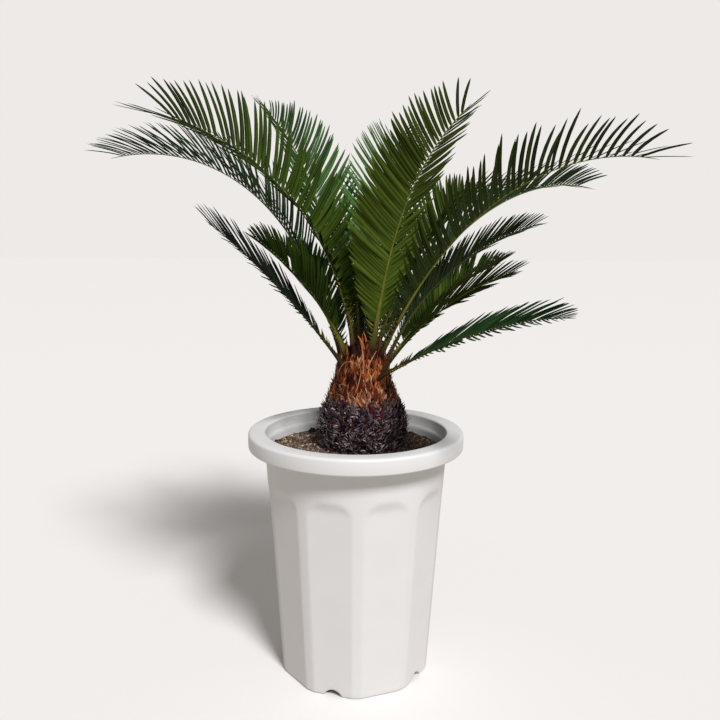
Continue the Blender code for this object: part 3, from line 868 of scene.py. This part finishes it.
def make_plates(look):
    """The stubs of old leaves: leaning every way low on the bulb, calmer and broader above."""
    rng = np.random.default_rng(61)
    bearing, height = spiral(PLATES, 0.3190, 0.3930, rng)
    root, out, side = around_trunk(bearing, height)
    calm = np.clip((height - 0.335) / 0.035, 0.0, 1.0)
    lean = rng.normal(0, 1, PLATES) * (0.95 - 0.30 * calm)
    curl = rng.normal(0, 1, PLATES) * (1.30 - 0.45 * calm)
    start = unit(out * column(rng.uniform(0.30, 0.75, PLATES) - 0.12 * calm) + UP + side * column(lean))
    end = unit(out * column(rng.uniform(-0.45, 0.30, PLATES)) + UP + side * column(curl))
    length = (0.0090 + 0.0025 * calm) * rng.lognormal(0, 0.30, PLATES).clip(0.5, 1.6)
    width = (0.0016 + 0.0007 * calm) * rng.lognormal(0, 0.40, PLATES).clip(0.45, 1.9)
    copies = bent_copies(PLATE, root, start, end, out, length, width, rng.normal(0, 0.8, PLATES))
    tone = rng.choice((0.04, 0.36, 0.68, 0.98), PLATES, p=(0.30, 0.28, 0.32, 0.10))
    return joined("trunk_plates", PLATE, copies, tone + rng.normal(0, 0.05, PLATES), [look])


def make_strips(look):
    """Thin curly strips, thickest low on the bulb."""
    rng = np.random.default_rng(65)
    height = 0.3205 + 0.072 * rng.random(STRIPS) ** 1.05
    copies, root, out = scattered(
        STRIP, rng, rng.uniform(0, 360, STRIPS), height, depth=0.0015,
        lean=((0.2, 1.0), 0.7, lambda count: rng.uniform(0.2, 1.0, count)),
        curl=((-0.5, 0.5), 1.1, lambda count: rng.uniform(-0.3, 1.0, count)),
        length=(0.0050, 0.0120), width=(0.00035, 0.00085), twist=0.9,
    )
    # Painted light: the strips get lighter towards the left side of the bulb.
    tone = rng.beta(1.3, 1.7, STRIPS) + 0.20 * blotches(root) - STRIPS_PAINTED_LIGHT * out[:, 0]
    return joined("trunk_strips", STRIP, copies, tone, [look])


def make_needles(look):
    """Long dark needles that stand off the bulb and the foot of the neck."""
    rng = np.random.default_rng(67)
    copies, root, out = scattered(
        STRIP, rng, rng.uniform(0, 360, NEEDLES), rng.uniform(0.335, 0.420, NEEDLES), depth=0.0020,
        lean=((0.7, 1.8), 0.5), curl=((-0.3, 0.9), 0.6),
        length=(0.008, 0.016), width=(0.00045, 0.00120), twist=0.6,
    )
    return joined("trunk_needles", STRIP, copies, rng.beta(1.2, 4.0, NEEDLES), [look])


def make_sheaths(look):
    """Broad sheaths: a spiral up the neck, then more that close over the dome between the stalks."""
    rng = np.random.default_rng(62)
    count = NECK_SHEATHS + DOME_SHEATHS
    bearing, height = spiral(NECK_SHEATHS, 0.3840, 0.4280, rng)
    root, out, side = around_trunk(bearing, height, 0.0022)
    turn = np.arange(DOME_SHEATHS) * GOLDEN_ANGLE + 0.3
    foot = np.radians(np.linspace(84, 8, DOME_SHEATHS))
    dome_out = direction(np.degrees(turn), 0.0 * turn)
    dome_root = TRUNK_AXIS + dome_out * column(CROWN_RADIUS * np.sin(foot) - 0.002)
    dome_root += UP * column(CROWN_CENTRE - 0.004 + CROWN_RISE * np.cos(foot) * 0.92)
    root = np.concatenate([root, dome_root])
    out = np.concatenate([out, dome_out])
    side = np.cross(UP, out)

    def drawn(on_neck, on_dome):
        """Random values: one range for the neck's sheaths, then one for the dome's."""
        return np.concatenate([rng.uniform(*on_neck, NECK_SHEATHS), rng.uniform(*on_dome, DOME_SHEATHS)])

    inward = drawn((0.10, 0.42), (0.05, 0.55))
    start = leaning(rng, out, side, (0.02, 0.22), 0.10)
    end = unit(out * -column(inward) + UP + side * column(rng.normal(0, 0.16, count)))
    length = drawn((0.018, 0.028), (0.010, 0.020))
    width = drawn((0.0030, 0.0060), (0.0018, 0.0038))
    copies = bent_copies(PLATE, root, start, end, out, length, width, rng.normal(0, 0.22, count))
    tone = rng.choice((0.04, 0.34, 0.66, 0.95), count, p=(0.50, 0.30, 0.15, 0.05))
    tone += rng.normal(0, 0.05, count)
    tone += 0.40 * blotches(root) - 0.5 * np.clip((root[:, 2] - 0.432) / 0.014, 0.0, 1.0)
    return joined("trunk_sheaths", PLATE, copies, tone, [look])


def make_wool(look):
    """Flat shreds over the sheaths, which break the neck into fine dark and rusty streaks."""
    rng = np.random.default_rng(68)
    bearing = rng.uniform(0, 360, WOOL_SHREDS)
    copies, root, out = scattered(
        STRIP, rng, bearing, rng.uniform(0.388, 0.446, WOOL_SHREDS), depth=-0.0004,
        lean=((0.02, 0.40), 0.32), curl=((-0.5, -0.05), 0.45),
        length=(0.004, 0.014), width=(0.00035, 0.00125), twist=0.4,
    )
    # Painted light: the shreds on the front of the neck get a lighter tone.
    painted_front_light = 0.30 * np.exp(-(((bearing + 172) % 360 - 180) / 32) ** 2)
    tone = rng.beta(0.8, 2.3, WOOL_SHREDS) + painted_front_light + 0.32 * blotches(root)
    return joined("trunk_wool", STRIP, copies, tone, [look])


def make_spikes(look):
    """Narrow young sheaths that stand between the leaf stalks."""
    rng = np.random.default_rng(63)
    bearing = rng.uniform(0, 360, SPIKES)
    foot = np.radians(rng.uniform(20, 84, SPIKES))
    out = direction(bearing, 0.0 * bearing)
    root = TRUNK_AXIS + out * column(CROWN_RADIUS * np.sin(foot) * 0.92)
    root += UP * column(CROWN_CENTRE + CROWN_RISE * np.cos(foot) * 0.85)
    start = unit(out * column(rng.uniform(0.0, 0.4, SPIKES)) + UP + rng.normal(0, 0.15, (SPIKES, 3)))
    end = unit(out * column(rng.uniform(-0.2, 0.4, SPIKES)) + UP + rng.normal(0, 0.30, (SPIKES, 3)))
    length = rng.uniform(0.012, 0.030, SPIKES)
    width = rng.uniform(0.0009, 0.0019, SPIKES)
    copies = bent_copies(PLATE, root, start, end, out, length, width, 0 * length)
    return joined("trunk_spikes", PLATE, copies, rng.normal(0.62, 0.22, SPIKES), [look])


def make_felt(look):
    """Short tan tufts where the neck meets the bulb."""
    rng = np.random.default_rng(66)
    bearing = rng.uniform(0, 360, FELT_TUFTS)
    height = rng.normal(0.3935, 0.0055, FELT_TUFTS).clip(0.380, 0.410)
    copies, root, out = scattered(
        PLATE, rng, bearing, height, depth=0.0012, lean=((0.1, 0.7), 0.5), curl=((-0.5, 0.3), 0.8),
        length=(0.005, 0.013), width=(0.0005, 0.0017), twist=0.7,
    )
    tone = rng.normal(0.58, 0.26, FELT_TUFTS) + 0.25 * blotches(root)
    return joined("trunk_felt", PLATE, copies, tone, [look])


def make_fibres(look):
    """Loose fibres: many at random, and a few laid where they show on the front of the neck."""
    rng = np.random.default_rng(64)
    bearing = rng.uniform(0, 360, FIBRES)
    height = rng.normal(0.392, 0.014, FIBRES).clip(0.362, 0.416)
    root, out, side = around_trunk(bearing, height, 0.0010)
    start = leaning(rng, out, side, (0.1, 0.8), 0.6, lambda count: rng.normal(0.5, 0.6, count))
    end = leaning(rng, out, side, (-0.7, 0.1), 0.9, lambda count: rng.normal(0.2, 0.8, count))
    length = rng.uniform(0.007, 0.015, FIBRES)
    width = rng.uniform(0.00022, 0.00045, FIBRES)
    tone = rng.random(FIBRES)
    for i, laid in enumerate(LAID_FIBRES):
        root[i], start[i], end[i], length[i], width[i] = laid
        out[i] = (0.0, -1.0, 0.0)
        tone[i] = 0.5
    template = blade(ROUND, [(i / 7, 1.0 - 0.75 * (i / 7) ** 3) for i in range(8)])
    copies = bent_copies(template, root, start, end, out, length, width, 0 * length)
    return joined("trunk_fibres", template, copies, tone, [look])


plate_look = toned_material(
    "plates", ((0.005, 0.002, 0.003), (0.040, 0.022, 0.029), (0.140, 0.100, 0.112), (0.070, 0.010, 0.015)),
    (0.45, 0.70), 0.8, 190.0, edge=((0.200, 0.155, 0.172), 0.10), depth=(0.30, 1.7),
)
strip_look = toned_material(
    "strips", ((0.008, 0.004, 0.006), (0.050, 0.032, 0.041), (0.210, 0.160, 0.180), (0.580, 0.510, 0.520)),
    (0.40, 0.60), 0.2, 220.0,
)
sheath_look = toned_material(
    "sheaths", ((0.024, 0.003, 0.002), (0.100, 0.013, 0.004), (0.280, 0.065, 0.014), (0.480, 0.170, 0.050)),
    (0.60, 0.80), 0.5, 130.0, grain_lines, edge=((0.36, 0.125, 0.045), 0.07), depth=(0.25, 1.8),
)
wool_look = toned_material(
    "wool", ((0.020, 0.003, 0.002), (0.160, 0.028, 0.009), (0.430, 0.135, 0.036), (0.620, 0.320, 0.150)),
    (0.70, 0.90), 0.2, 200.0, grain_lines, depth=(0.5, 1.3),
)
felt_look = toned_material(
    "felt", ((0.060, 0.010, 0.006), (0.240, 0.072, 0.028), (0.440, 0.200, 0.100), (0.600, 0.400, 0.300)),
    (0.70, 0.90), 0.35, 160.0, grain_lines, depth=(0.35, 1.4),
)
fibre_look = toned_material(
    "fibres", ((0.26, 0.08, 0.03), (0.44, 0.20, 0.09), (0.56, 0.36, 0.24)), (0.6, 0.8), 0.1, 200.0
)
trunk_pieces += [make_plates(plate_look), make_strips(strip_look), make_needles(strip_look)]
trunk_pieces += [make_sheaths(sheath_look), make_spikes(sheath_look), make_wool(wool_look)]
trunk_pieces += [make_felt(felt_look), make_fibres(fibre_look)]
for piece in trunk_pieces:
    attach(piece, "root")
    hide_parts("trunk")
    print(piece.name, len(piece.data.polygons), "faces")

# %% [markdown]
# ## How a frond grows
#
# A frond leaves the crown at a steep angle and bends over, first slowly and then faster, so its
# steepness falls with a power of the distance along it. It may also turn sideways a little. Two rows of
# leaflets stand on the rib and form a shallow V. They are short at the stalk's end, grow quickly to full
# length and get shorter and more swept towards the tip. Each frond has its own line in the table,
# in the order of their names. Angles are in degrees, with bearings from the front, -Y, towards +X, and
# lengths are in metres. "Thin" names the row, -1 or 1, that is seen edge-on and gets smaller leaflets.
# The column after it is how much lighter row 1 is painted, as a painted sheen on that row, or darker as
# painted shade where it is negative.

# %% Write the table of fronds
FIELDS = (
    "bearing rise fall power turn length foot roll vee spread tip "
    "leaflet taper bare step width thin light look"
).split()
FRONDS = (
    (-117, 70, 86, 1.71, 39, 0.491, 64, -11, 48, 36, 0.8, 0.092, 0.4, 0.22, 0.0064, 0.0036, 0, 0.1, "blue"),
    (-72, 82, 68, 1.14, -21, 0.412, 24, -30, 22, 82, 0.42, 0.108, 0.3, 0.12, 0.0052, 0.007, 0, 0.0, "deep"),
    (-56, 50, 18, 1.57, 15, 0.276, 68, -35, 8, 54, 0.62, 0.068, 0.6, 0.2, 0.0038, 0.0052, 1, -0.2, "dark"),
    (-92, 67, 35, 1.02, -19, 0.212, 44, -38, 48, 46, 0.25, 0.056, 0.75, 0.16, 0.0036, 0.0044, 0, 0.0, "olive"),
    (-146, 66, 38, 1.95, 2, 0.448, 28, 0, 34, 52, 0.42, 0.092, 0.55, 0.18, 0.0058, 0.0056, 0, 0.0, "bright"),
    (160, 73, 40, 1.45, 17, 0.375, 30, 0, 34, 60, 0.42, 0.095, 0.45, 0.18, 0.0052, 0.005, 0, 0.3, "bright"),
    (40, 78, 41, 1.9, 18, 0.346, 34, -22, 34, 58, 1.0, 0.075, 0.48, 0.11, 0.0045, 0.007, 0, 0.34, "olive"),
    (70, 63, 78, 1.78, -23, 0.456, 48, 0, 24, 63, 0.8, 0.103, 0.22, 0.12, 0.0073, 0.006, 1, 0.0, "green"),
    (108, 64, 71, 1.49, 7, 0.436, 50, -42, 44, 32, 0.69, 0.064, 0.1, 0.18, 0.0042, 0.0036, 0, 0.0, "blue"),
    (93, 67, 52, 1.13, -11, 0.29, 66, -28, 18, 46, 0.49, 0.056, 0.6, 0.15, 0.0036, 0.0044, 0, 0.0, "fresh"),
    (50, 51, 33, 1.15, 0, 0.246, 80, 30, 8, 50, 0.42, 0.056, 0.6, 0.16, 0.0038, 0.0048, 0, 0.0, "brown"),
    (40, 27, 23, 1.8, -10, 0.332, 90, 33, 6, 40, 0.48, 0.063, 0.85, 0.18, 0.0046, 0.0056, -1, 0.0, "fresh"),
    (134, 62, 60, 1.6, 4, 0.365, 44, 0, 45, 60, 0.45, 0.092, 0.4, 0.14, 0.0058, 0.0068, 0, 0.0, "green"),
    (-172, 62, 56, 1.5, 0, 0.3, 52, 0, 40, 56, 0.45, 0.078, 0.4, 0.14, 0.0058, 0.0068, 0, 0.0, "green"),
    (150, 44, 36, 1.5, 4, 0.27, 78, 0, 40, 50, 0.45, 0.064, 0.4, 0.16, 0.005, 0.0062, 0, 0.0, "blue"),
    (-146, 52, 40, 1.5, -4, 0.28, 74, 0, 40, 50, 0.45, 0.066, 0.4, 0.16, 0.005, 0.0062, 0, 0.0, "bright"),
    (178, 36, 27, 1.5, 0, 0.246, 88, 0, 40, 46, 0.48, 0.06, 0.4, 0.18, 0.005, 0.0062, 0, 0.0, "brown"),
    (124, 46, 32, 1.5, 0, 0.27, 84, 0, 40, 46, 0.48, 0.064, 0.4, 0.18, 0.005, 0.0062, 0, 0.0, "green"),
)
RIB_STEPS = 60
RIB_WIDTH = 0.0070
RIB_DEPTH = 0.0055
RIB_TIP_SHARE = 0.20
STALK_LEAFLET = 0.30
RIB_THINS = 3.2
LAST_LEAFLET = 0.97
LAST_ANGLE = 22.0
CLOSING = 750.0


class Rib:
    """A frond's curve, from its foot on the crown to its tip; s runs from 0 to 1."""

    def __init__(self, line):
        self.__dict__.update(zip(FIELDS, line))
        out = direction(self.bearing, 0)
        foot = math.radians(self.foot)
        start = TRUNK_AXIS + out * CROWN_RADIUS * math.sin(foot)
        start = start + UP * (CROWN_CENTRE + CROWN_RISE * math.cos(foot))
        middles = (np.arange(RIB_STEPS) + 0.5) / RIB_STEPS
        moves = self.heading(middles) * self.length / RIB_STEPS
        self.places = np.concatenate([[start], start + np.cumsum(moves, axis=0)])

    def heading(self, s):
        s = np.maximum(s, 0.0)
        return direction(self.bearing + self.turn * s**2, self.rise - self.fall * s**self.power)

    def place(self, s):
        along = np.linspace(0, 1, RIB_STEPS + 1)
        inside = np.stack([np.interp(s, along, self.places[:, axis]) for axis in range(3)], axis=-1)
        return inside + np.minimum(s, 0.0)[..., None] * self.length * self.heading(0.0 * s)

    def frame(self, s):
        """Along the rib, sideways and upwards from it."""
        along = self.heading(s)
        level = direction(self.bearing + self.turn * np.maximum(s, 0.0) ** 2 + 90, 0.0 * s)
        roll = math.radians(self.roll)
        side = level * math.cos(roll) + np.cross(along, level) * math.sin(roll)
        return along, side, np.cross(along, side)

    def thickness(self, s):
        """The rib's thickness at s, as a share of its foot's."""
        return RIB_TIP_SHARE + (1 - RIB_TIP_SHARE) * (1 - np.clip(s, 0.0, 1.0)) ** RIB_THINS

    def leaflet_share(self, s):
        """A leaflet's length at s, as a share of the longest."""
        t = (s - self.bare) / (LAST_LEAFLET - self.bare)
        grown = np.sin(np.minimum(t / 0.35, 1.0) * math.pi / 2)
        ended = 1 - self.taper * np.maximum(0.0, (t - 0.5) / 0.5) ** 2.5
        return (STALK_LEAFLET + (1 - STALK_LEAFLET) * grown) * ended

    def leaflet_angle(self, s):
        """The angle between a leaflet and the rib at s."""
        angle = self.spread * (1 - (1 - self.tip) * s**1.8)
        return np.minimum(angle, LAST_ANGLE + CLOSING * (LAST_LEAFLET - s))


ribs = {f"frond_{number:02d}": Rib(line) for number, line in enumerate(FRONDS, 1)}
print("fronds:", len(ribs), "longest", max(rib.length for rib in ribs.values()), "m")

# %% [markdown]
# ## Leaf colours
#
# Young and old fronds differ: the upper ones are a fresh green, those behind have a bluish gloss, the
# inner ones are olive, and the low old ones nearly black. A leaflet's upper face is waxy and its lower
# face is matt. Each look gets one material for either face, from two colours for above and two for
# below. The tone that every copy carries mixes a darker and a lighter version, a pale line runs along
# the midrib, and the edges are nearly black with painted shade, for the shade under the rolled margins
# and in the gaps between the leaflets.

# %% Make the leaf materials
LEAF_SPECULAR = 0.07
LEAF_LIGHTER = 1.7
LEAF_DARKER = 0.35
LEAF_EDGE_SHADE = 0.5
LEAF_LOOKS = {
    "olive": (((0.038, 0.076, 0.004), (0.078, 0.138, 0.018)), ((0.050, 0.082, 0.005), (0.084, 0.126, 0.016))),
    "deep": (((0.014, 0.029, 0.001), (0.036, 0.064, 0.004)), ((0.020, 0.035, 0.002), (0.042, 0.062, 0.005))),
    "green": (((0.013, 0.028, 0.001), (0.040, 0.074, 0.003)), ((0.015, 0.029, 0.001), (0.034, 0.056, 0.004))),
    "bright": (((0.017, 0.050, 0.008), (0.060, 0.132, 0.034)), ((0.022, 0.054, 0.008), (0.052, 0.100, 0.022))),
    "blue": (((0.012, 0.032, 0.009), (0.038, 0.084, 0.032)), ((0.014, 0.030, 0.009), (0.032, 0.057, 0.022))),
    "fresh": (((0.009, 0.030, 0.008), (0.028, 0.068, 0.022)), ((0.012, 0.024, 0.006), (0.027, 0.044, 0.012))),
    "brown": (((0.008, 0.012, 0.001), (0.022, 0.030, 0.003)), ((0.011, 0.014, 0.001), (0.024, 0.029, 0.004))),
    "dark": (((0.002, 0.004, 0.002), (0.009, 0.014, 0.007)), ((0.004, 0.005, 0.003), (0.012, 0.014, 0.008))),
}


def scaled(colour, share):
    return tuple(part * share for part in colour)


def leaf_material(name, colours, roughness, coat, midrib):
    """One face of a leaflet: mottled, toned, with a pale midrib and edges darkened as painted shade."""
    made = finish(name, colours, 45.0, 0.28, roughness, 0.05, coat=coat, specular=LEAF_SPECULAR)
    tree = made.node_tree
    lighter = scaled(colours[1], LEAF_LIGHTER)
    darker = scaled(colours[0], LEAF_DARKER)
    mottled = tree.nodes["pattern"].outputs["Color"]
    tone = tone_value(tree)
    dull = mixed(tree, ramp(tree, tone, (0.0, 1.0), (0.5, 0.0)), mottled, darker)
    toned = mixed(tree, ramp(tree, tone, (0.5, 0.0), (1.0, 0.6)), dull, lighter)
    across = blade_value(tree, "Y")
    line = ramp(tree, across, (0.38, 0.0), (0.5, midrib), (0.62, 0.0))
    # Painted shade: the edges darken, for the shade under the rolled margins and between the leaflets.
    edge = ramp(tree, across, (0.0, 0.70), (0.15, 0.0), (0.85, 0.0), (1.0, 0.70))
    ribbed = mixed(tree, line, toned, lighter)
    set_shader(made, {"Base Color": mixed(tree, edge, ribbed, scaled(darker, LEAF_EDGE_SHADE))})
    return made


leaf_materials = {
    look: (
        leaf_material(look + " leaf above", above, (0.36, 0.50), 0.02, 0.45),
        leaf_material(look + " leaf below", below, (0.55, 0.70), 0.0, 0.55),
    )
    for look, (above, below) in LEAF_LOOKS.items()
}
print("leaf materials:", len(leaf_materials) * 2)

# %% [markdown]
# ## The leaflets
#
# A cycad's leaflet is stiff and narrow, with its edges rolled under and one strong rib below. The
# template has eight points round and eight stations along. On the frond each one gets its own small
# error in angle, length, twist and droop, because living leaflets are never in perfect rank. A few are
# missing and a few are bent. They stand closest near the stalk and further apart towards the tip. In a
# row that is seen edge-on they are smaller, and every second one is shorter. Their tones get darker
# towards the stalk and the tip, as painted shade.

# %% Set the leaflets on their ribs
LEAFLET = blade(
    (
        (-1.0, -0.28), (-0.55, 0.06), (0.0, -0.08), (0.55, 0.06),
        (1.0, -0.28), (0.5, -0.20), (0.0, -0.40), (-0.5, -0.20),
    ),
    (
        (0.0, 0.45), (0.05, 0.80), (0.16, 1.0), (0.38, 1.0),
        (0.62, 0.94), (0.82, 0.74), (0.94, 0.40), (1.0, 0.05),
    ),
    two_faced=True,
)
LEAFLET_BEND = 6.0
SPACING_GROWS = 0.38
LEAFLET_SHIFT = 0.10
LEAFLET_MISSING = 0.03
LEAFLET_BROKEN = 0.012
LEAFLET_DROOP = 0.10
LEAFLET_NARROWS = 0.25
VEE_ERROR = 2.5
ANGLE_ERROR = 1.4
BROKEN_ERROR = 12.0
TWIST_ERROR = 4.0
LENGTH_ERROR = 0.035
WIDTH_ERROR = 0.06
THIN_LENGTH = 0.62
THIN_WIDTH = 0.60
THIN_SECOND = 0.6
TONE_MIDDLE = 0.62
TONE_SPREAD = 0.14
TONE_TIP_SHADE = 0.75
TONE_SHADED = 0.40


def leaflets_of(rib, rng):
    """The copies of the leaflet on one frond, and their tones."""
    step = rib.step / rib.length
    count = round((LAST_LEAFLET - rib.bare) / step)
    t = (np.arange(count) + 0.25) / count
    row_places = rib.bare + (LAST_LEAFLET - rib.bare) * t * (1 - SPACING_GROWS + SPACING_GROWS * t)
    parts, tones = [], []
    for row in (-1, 1):
        shift = 0.5 * (row > 0) + rng.uniform(-LEAFLET_SHIFT, LEAFLET_SHIFT, len(row_places))
        s = np.clip(row_places + step * shift, rib.bare, LAST_LEAFLET)
        s = s[rng.random(len(s)) > LEAFLET_MISSING]
        count = len(s)
        along, side, above = rib.frame(s)
        vee = np.radians(rib.vee + rng.normal(0, VEE_ERROR, count))[:, None]
        outward = side * row * np.cos(vee) + above * np.sin(vee)
        broken = rng.random(count) < LEAFLET_BROKEN
        angle = rib.leaflet_angle(s) + rng.normal(0, ANGLE_ERROR, count)
        angle = angle + broken * rng.normal(0, BROKEN_ERROR, count)
        start, end = (
            along * np.cos(turn) + outward * np.sin(turn)
            for turn in (np.radians(angle + bend)[:, None] for bend in (LEAFLET_BEND, -LEAFLET_BEND))
        )
        end = unit(end - UP * LEAFLET_DROOP * rng.uniform(0.2, 1.0, count)[:, None])
        up = np.cross(start, along)
        up *= np.sign(np.sum(up * above, axis=1))[:, None]
        size = rib.thickness(s)
        root = rib.place(s) + side * (row * RIB_WIDTH * 0.30 * size)[:, None]
        root = root + above * (RIB_DEPTH * 0.25 * size)[:, None]
        share = rib.leaflet_share(s)
        length = rib.leaflet * share * rng.normal(1.0, LENGTH_ERROR, count)
        width = rib.width / 2 * (1.0 - LEAFLET_NARROWS * s) * share**0.8 * rng.normal(1.0, WIDTH_ERROR, count)
        if row * rib.thin > 0:
            length *= THIN_LENGTH * (np.arange(count) % 2 + THIN_SECOND) / (1 + THIN_SECOND)
            width *= THIN_WIDTH
        twist = np.radians(rng.normal(0, TWIST_ERROR, count))
        parts.append(bent_copies(LEAFLET, root, start, end, up, length, width, twist))
        # Row 1 is painted lighter by the frond's amount as a painted sheen, or darker as painted shade.
        tone = rng.normal(TONE_MIDDLE, TONE_SPREAD, count) + rib.light * (row > 0)
        # Painted shade: the tones fall towards the tip and towards the stalk.
        tones.append(tone - TONE_TIP_SHADE * s**2 - TONE_SHADED * (1 - s) ** 4)
    return np.concatenate(parts), np.concatenate(tones)


for number, (look, materials) in enumerate(leaf_materials.items()):
    rng = np.random.default_rng(400 + number)
    nodes = [node for node, rib in ribs.items() if rib.look == look]
    grown = [leaflets_of(ribs[node], rng) for node in nodes]
    copies, tones = (np.concatenate(parts) for parts in zip(*grown))
    piece = joined("leaflets_" + look, LEAFLET, copies, tones, materials)
    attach(piece, "root")
    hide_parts(*nodes)
    print(piece.name, len(copies), "leaflets,", len(piece.data.polygons), "faces")

# %% [markdown]
# ## Ribs and stalks
#
# The rib is drawn through rings along the frond's curve. It is thick and brown where it leaves the
# crown, because the old woolly base still clings there, and it turns green a few centimetres up. Below
# the first leaflets the stalk carries two rows of short thorns, which are leaflets that stayed small.

# %% Draw the ribs and thorns
RIB_STATIONS = 54
RIB_SIDES = 10
RIB_CROWDS = 1.3
RIB_END = 0.35
RIB_UNDERSIDE = 0.45
RIB_GREENS = ((0.150, 0.168, 0.022), (0.250, 0.265, 0.045))
RIB_AGED = (0.022, 0.018, 0.005)
RIB_FOOT = (0.034, 0.013, 0.006)
RIB_AGES = {
    "olive": 0.22, "deep": 0.02, "green": 0.24, "bright": 0.25,
    "blue": 0.42, "fresh": 0.80, "brown": 0.65, "dark": 0.96,
}
RIB_BURIED = 0.008
FOOT_SWELL = 0.85
FOOT_SWELL_LENGTH = 0.010
STALK_SWELL = 0.40
STALK_SWELL_LENGTH = 0.060
THORN_STEP = 0.0062
THORN_FIRST_SHARE = 0.24
THORN_FIRST = 0.0040
THORN_LAST_SHARE = 0.24
THORN_HALF_WIDTH = 0.0010


def rib_material():
    made = finish("rib", RIB_GREENS, 70.0, 0.25, (0.50, 0.65), 0.08, specular=0.12)
    tree = made.node_tree
    aged = mixed(tree, tone_value(tree), tree.nodes["pattern"].outputs["Color"], RIB_AGED)
    foot = ramp(tree, blade_value(tree, "X"), (0.06, 1.0), (0.30, 0.0))
    set_shader(made, {"Base Color": mixed(tree, foot, aged, RIB_FOOT)})
    return made


def rib_rings(rib):
    """The rings of points of one rib, from inside the crown to the tip."""
    first = -RIB_BURIED / rib.length
    s = first + (1 - first) * np.linspace(0, 1, RIB_STATIONS) ** RIB_CROWDS
    along, side, above = rib.frame(s)
    size = rib.thickness(s)
    size[-1] *= RIB_END
    from_foot = np.maximum(s, 0) * rib.length
    swell = 1 + FOOT_SWELL * np.exp(-((from_foot / FOOT_SWELL_LENGTH) ** 2))
    swell += STALK_SWELL * np.exp(-((from_foot / STALK_SWELL_LENGTH) ** 2))
    turn = np.arange(RIB_SIDES) / RIB_SIDES * math.tau
    across = np.cos(turn)[None, :, None] * (RIB_WIDTH / 2 * size * swell)[:, None, None] * side[:, None]
    height = np.where(np.sin(turn) > 0, 0.5, RIB_UNDERSIDE) * np.sin(turn)
    upward = height[None, :, None] * (RIB_DEPTH * size * np.sqrt(swell))[:, None, None] * above[:, None]
    return rib.place(s)[:, None] + across + upward


def make_ribs():
    ring = [(math.cos(i), math.sin(i)) for i in range(RIB_SIDES)]
    rings = [[(x, station, z) for x, z in ring] for station in range(RIB_STATIONS)]
    template = Template(drawn_out(rings))
    station = np.repeat(np.arange(RIB_STATIONS), RIB_SIDES) / (RIB_STATIONS - 1)
    template.uv = np.stack([station, np.tile(np.arange(RIB_SIDES) / RIB_SIDES, RIB_STATIONS)], axis=1)
    copies = np.stack([rib_rings(rib).reshape(-1, 3) for rib in ribs.values()])
    tones = np.array([RIB_AGES[rib.look] for rib in ribs.values()])
    return joined("ribs", template, copies, tones, [rib_material()])


def make_thorns(look):
    rng = np.random.default_rng(41)
    template = blade(ROUND, ((0.0, 1.3), (0.3, 0.8), (0.7, 0.45), (1.0, 0.05)))
    parts = []
    for rib in ribs.values():
        places = np.arange(THORN_FIRST_SHARE * rib.bare, rib.bare, THORN_STEP / rib.length)
        for row in (-1, 1):
            s = places + rng.uniform(-0.3, 0.3, len(places)) * THORN_STEP / rib.length
            along, side, above = rib.frame(s)
            start = unit(side * row + above * 0.45 + along * rng.uniform(0.3, 0.8, len(s))[:, None])
            root = rib.place(s) + side * (row * RIB_WIDTH * 0.40)
            grown = np.clip(s / rib.bare, 0, 1) ** 1.6
            length = THORN_FIRST + (THORN_LAST_SHARE * rib.leaflet - THORN_FIRST) * grown
            length = length * rng.uniform(0.8, 1.2, len(s))
            wide = THORN_HALF_WIDTH * (1 + 0.8 * grown)
            end = unit(start + along * 0.5)
            parts.append(bent_copies(template, root, start, end, above, length, wide, 0 * s))
    copies = np.concatenate(parts)
    return joined("thorns", template, copies, rng.uniform(0.3, 0.9, len(copies)), [look])


rib_piece = make_ribs()
thorn_piece = make_thorns(rib_piece.data.materials[0])
for piece in (rib_piece, thorn_piece):
    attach(piece, "root")
    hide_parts(*ribs)
print("ribs:", len(rib_piece.data.polygons), "faces; thorns:", len(thorn_piece.data.polygons), "faces")

# %% [markdown]
# ## Finish
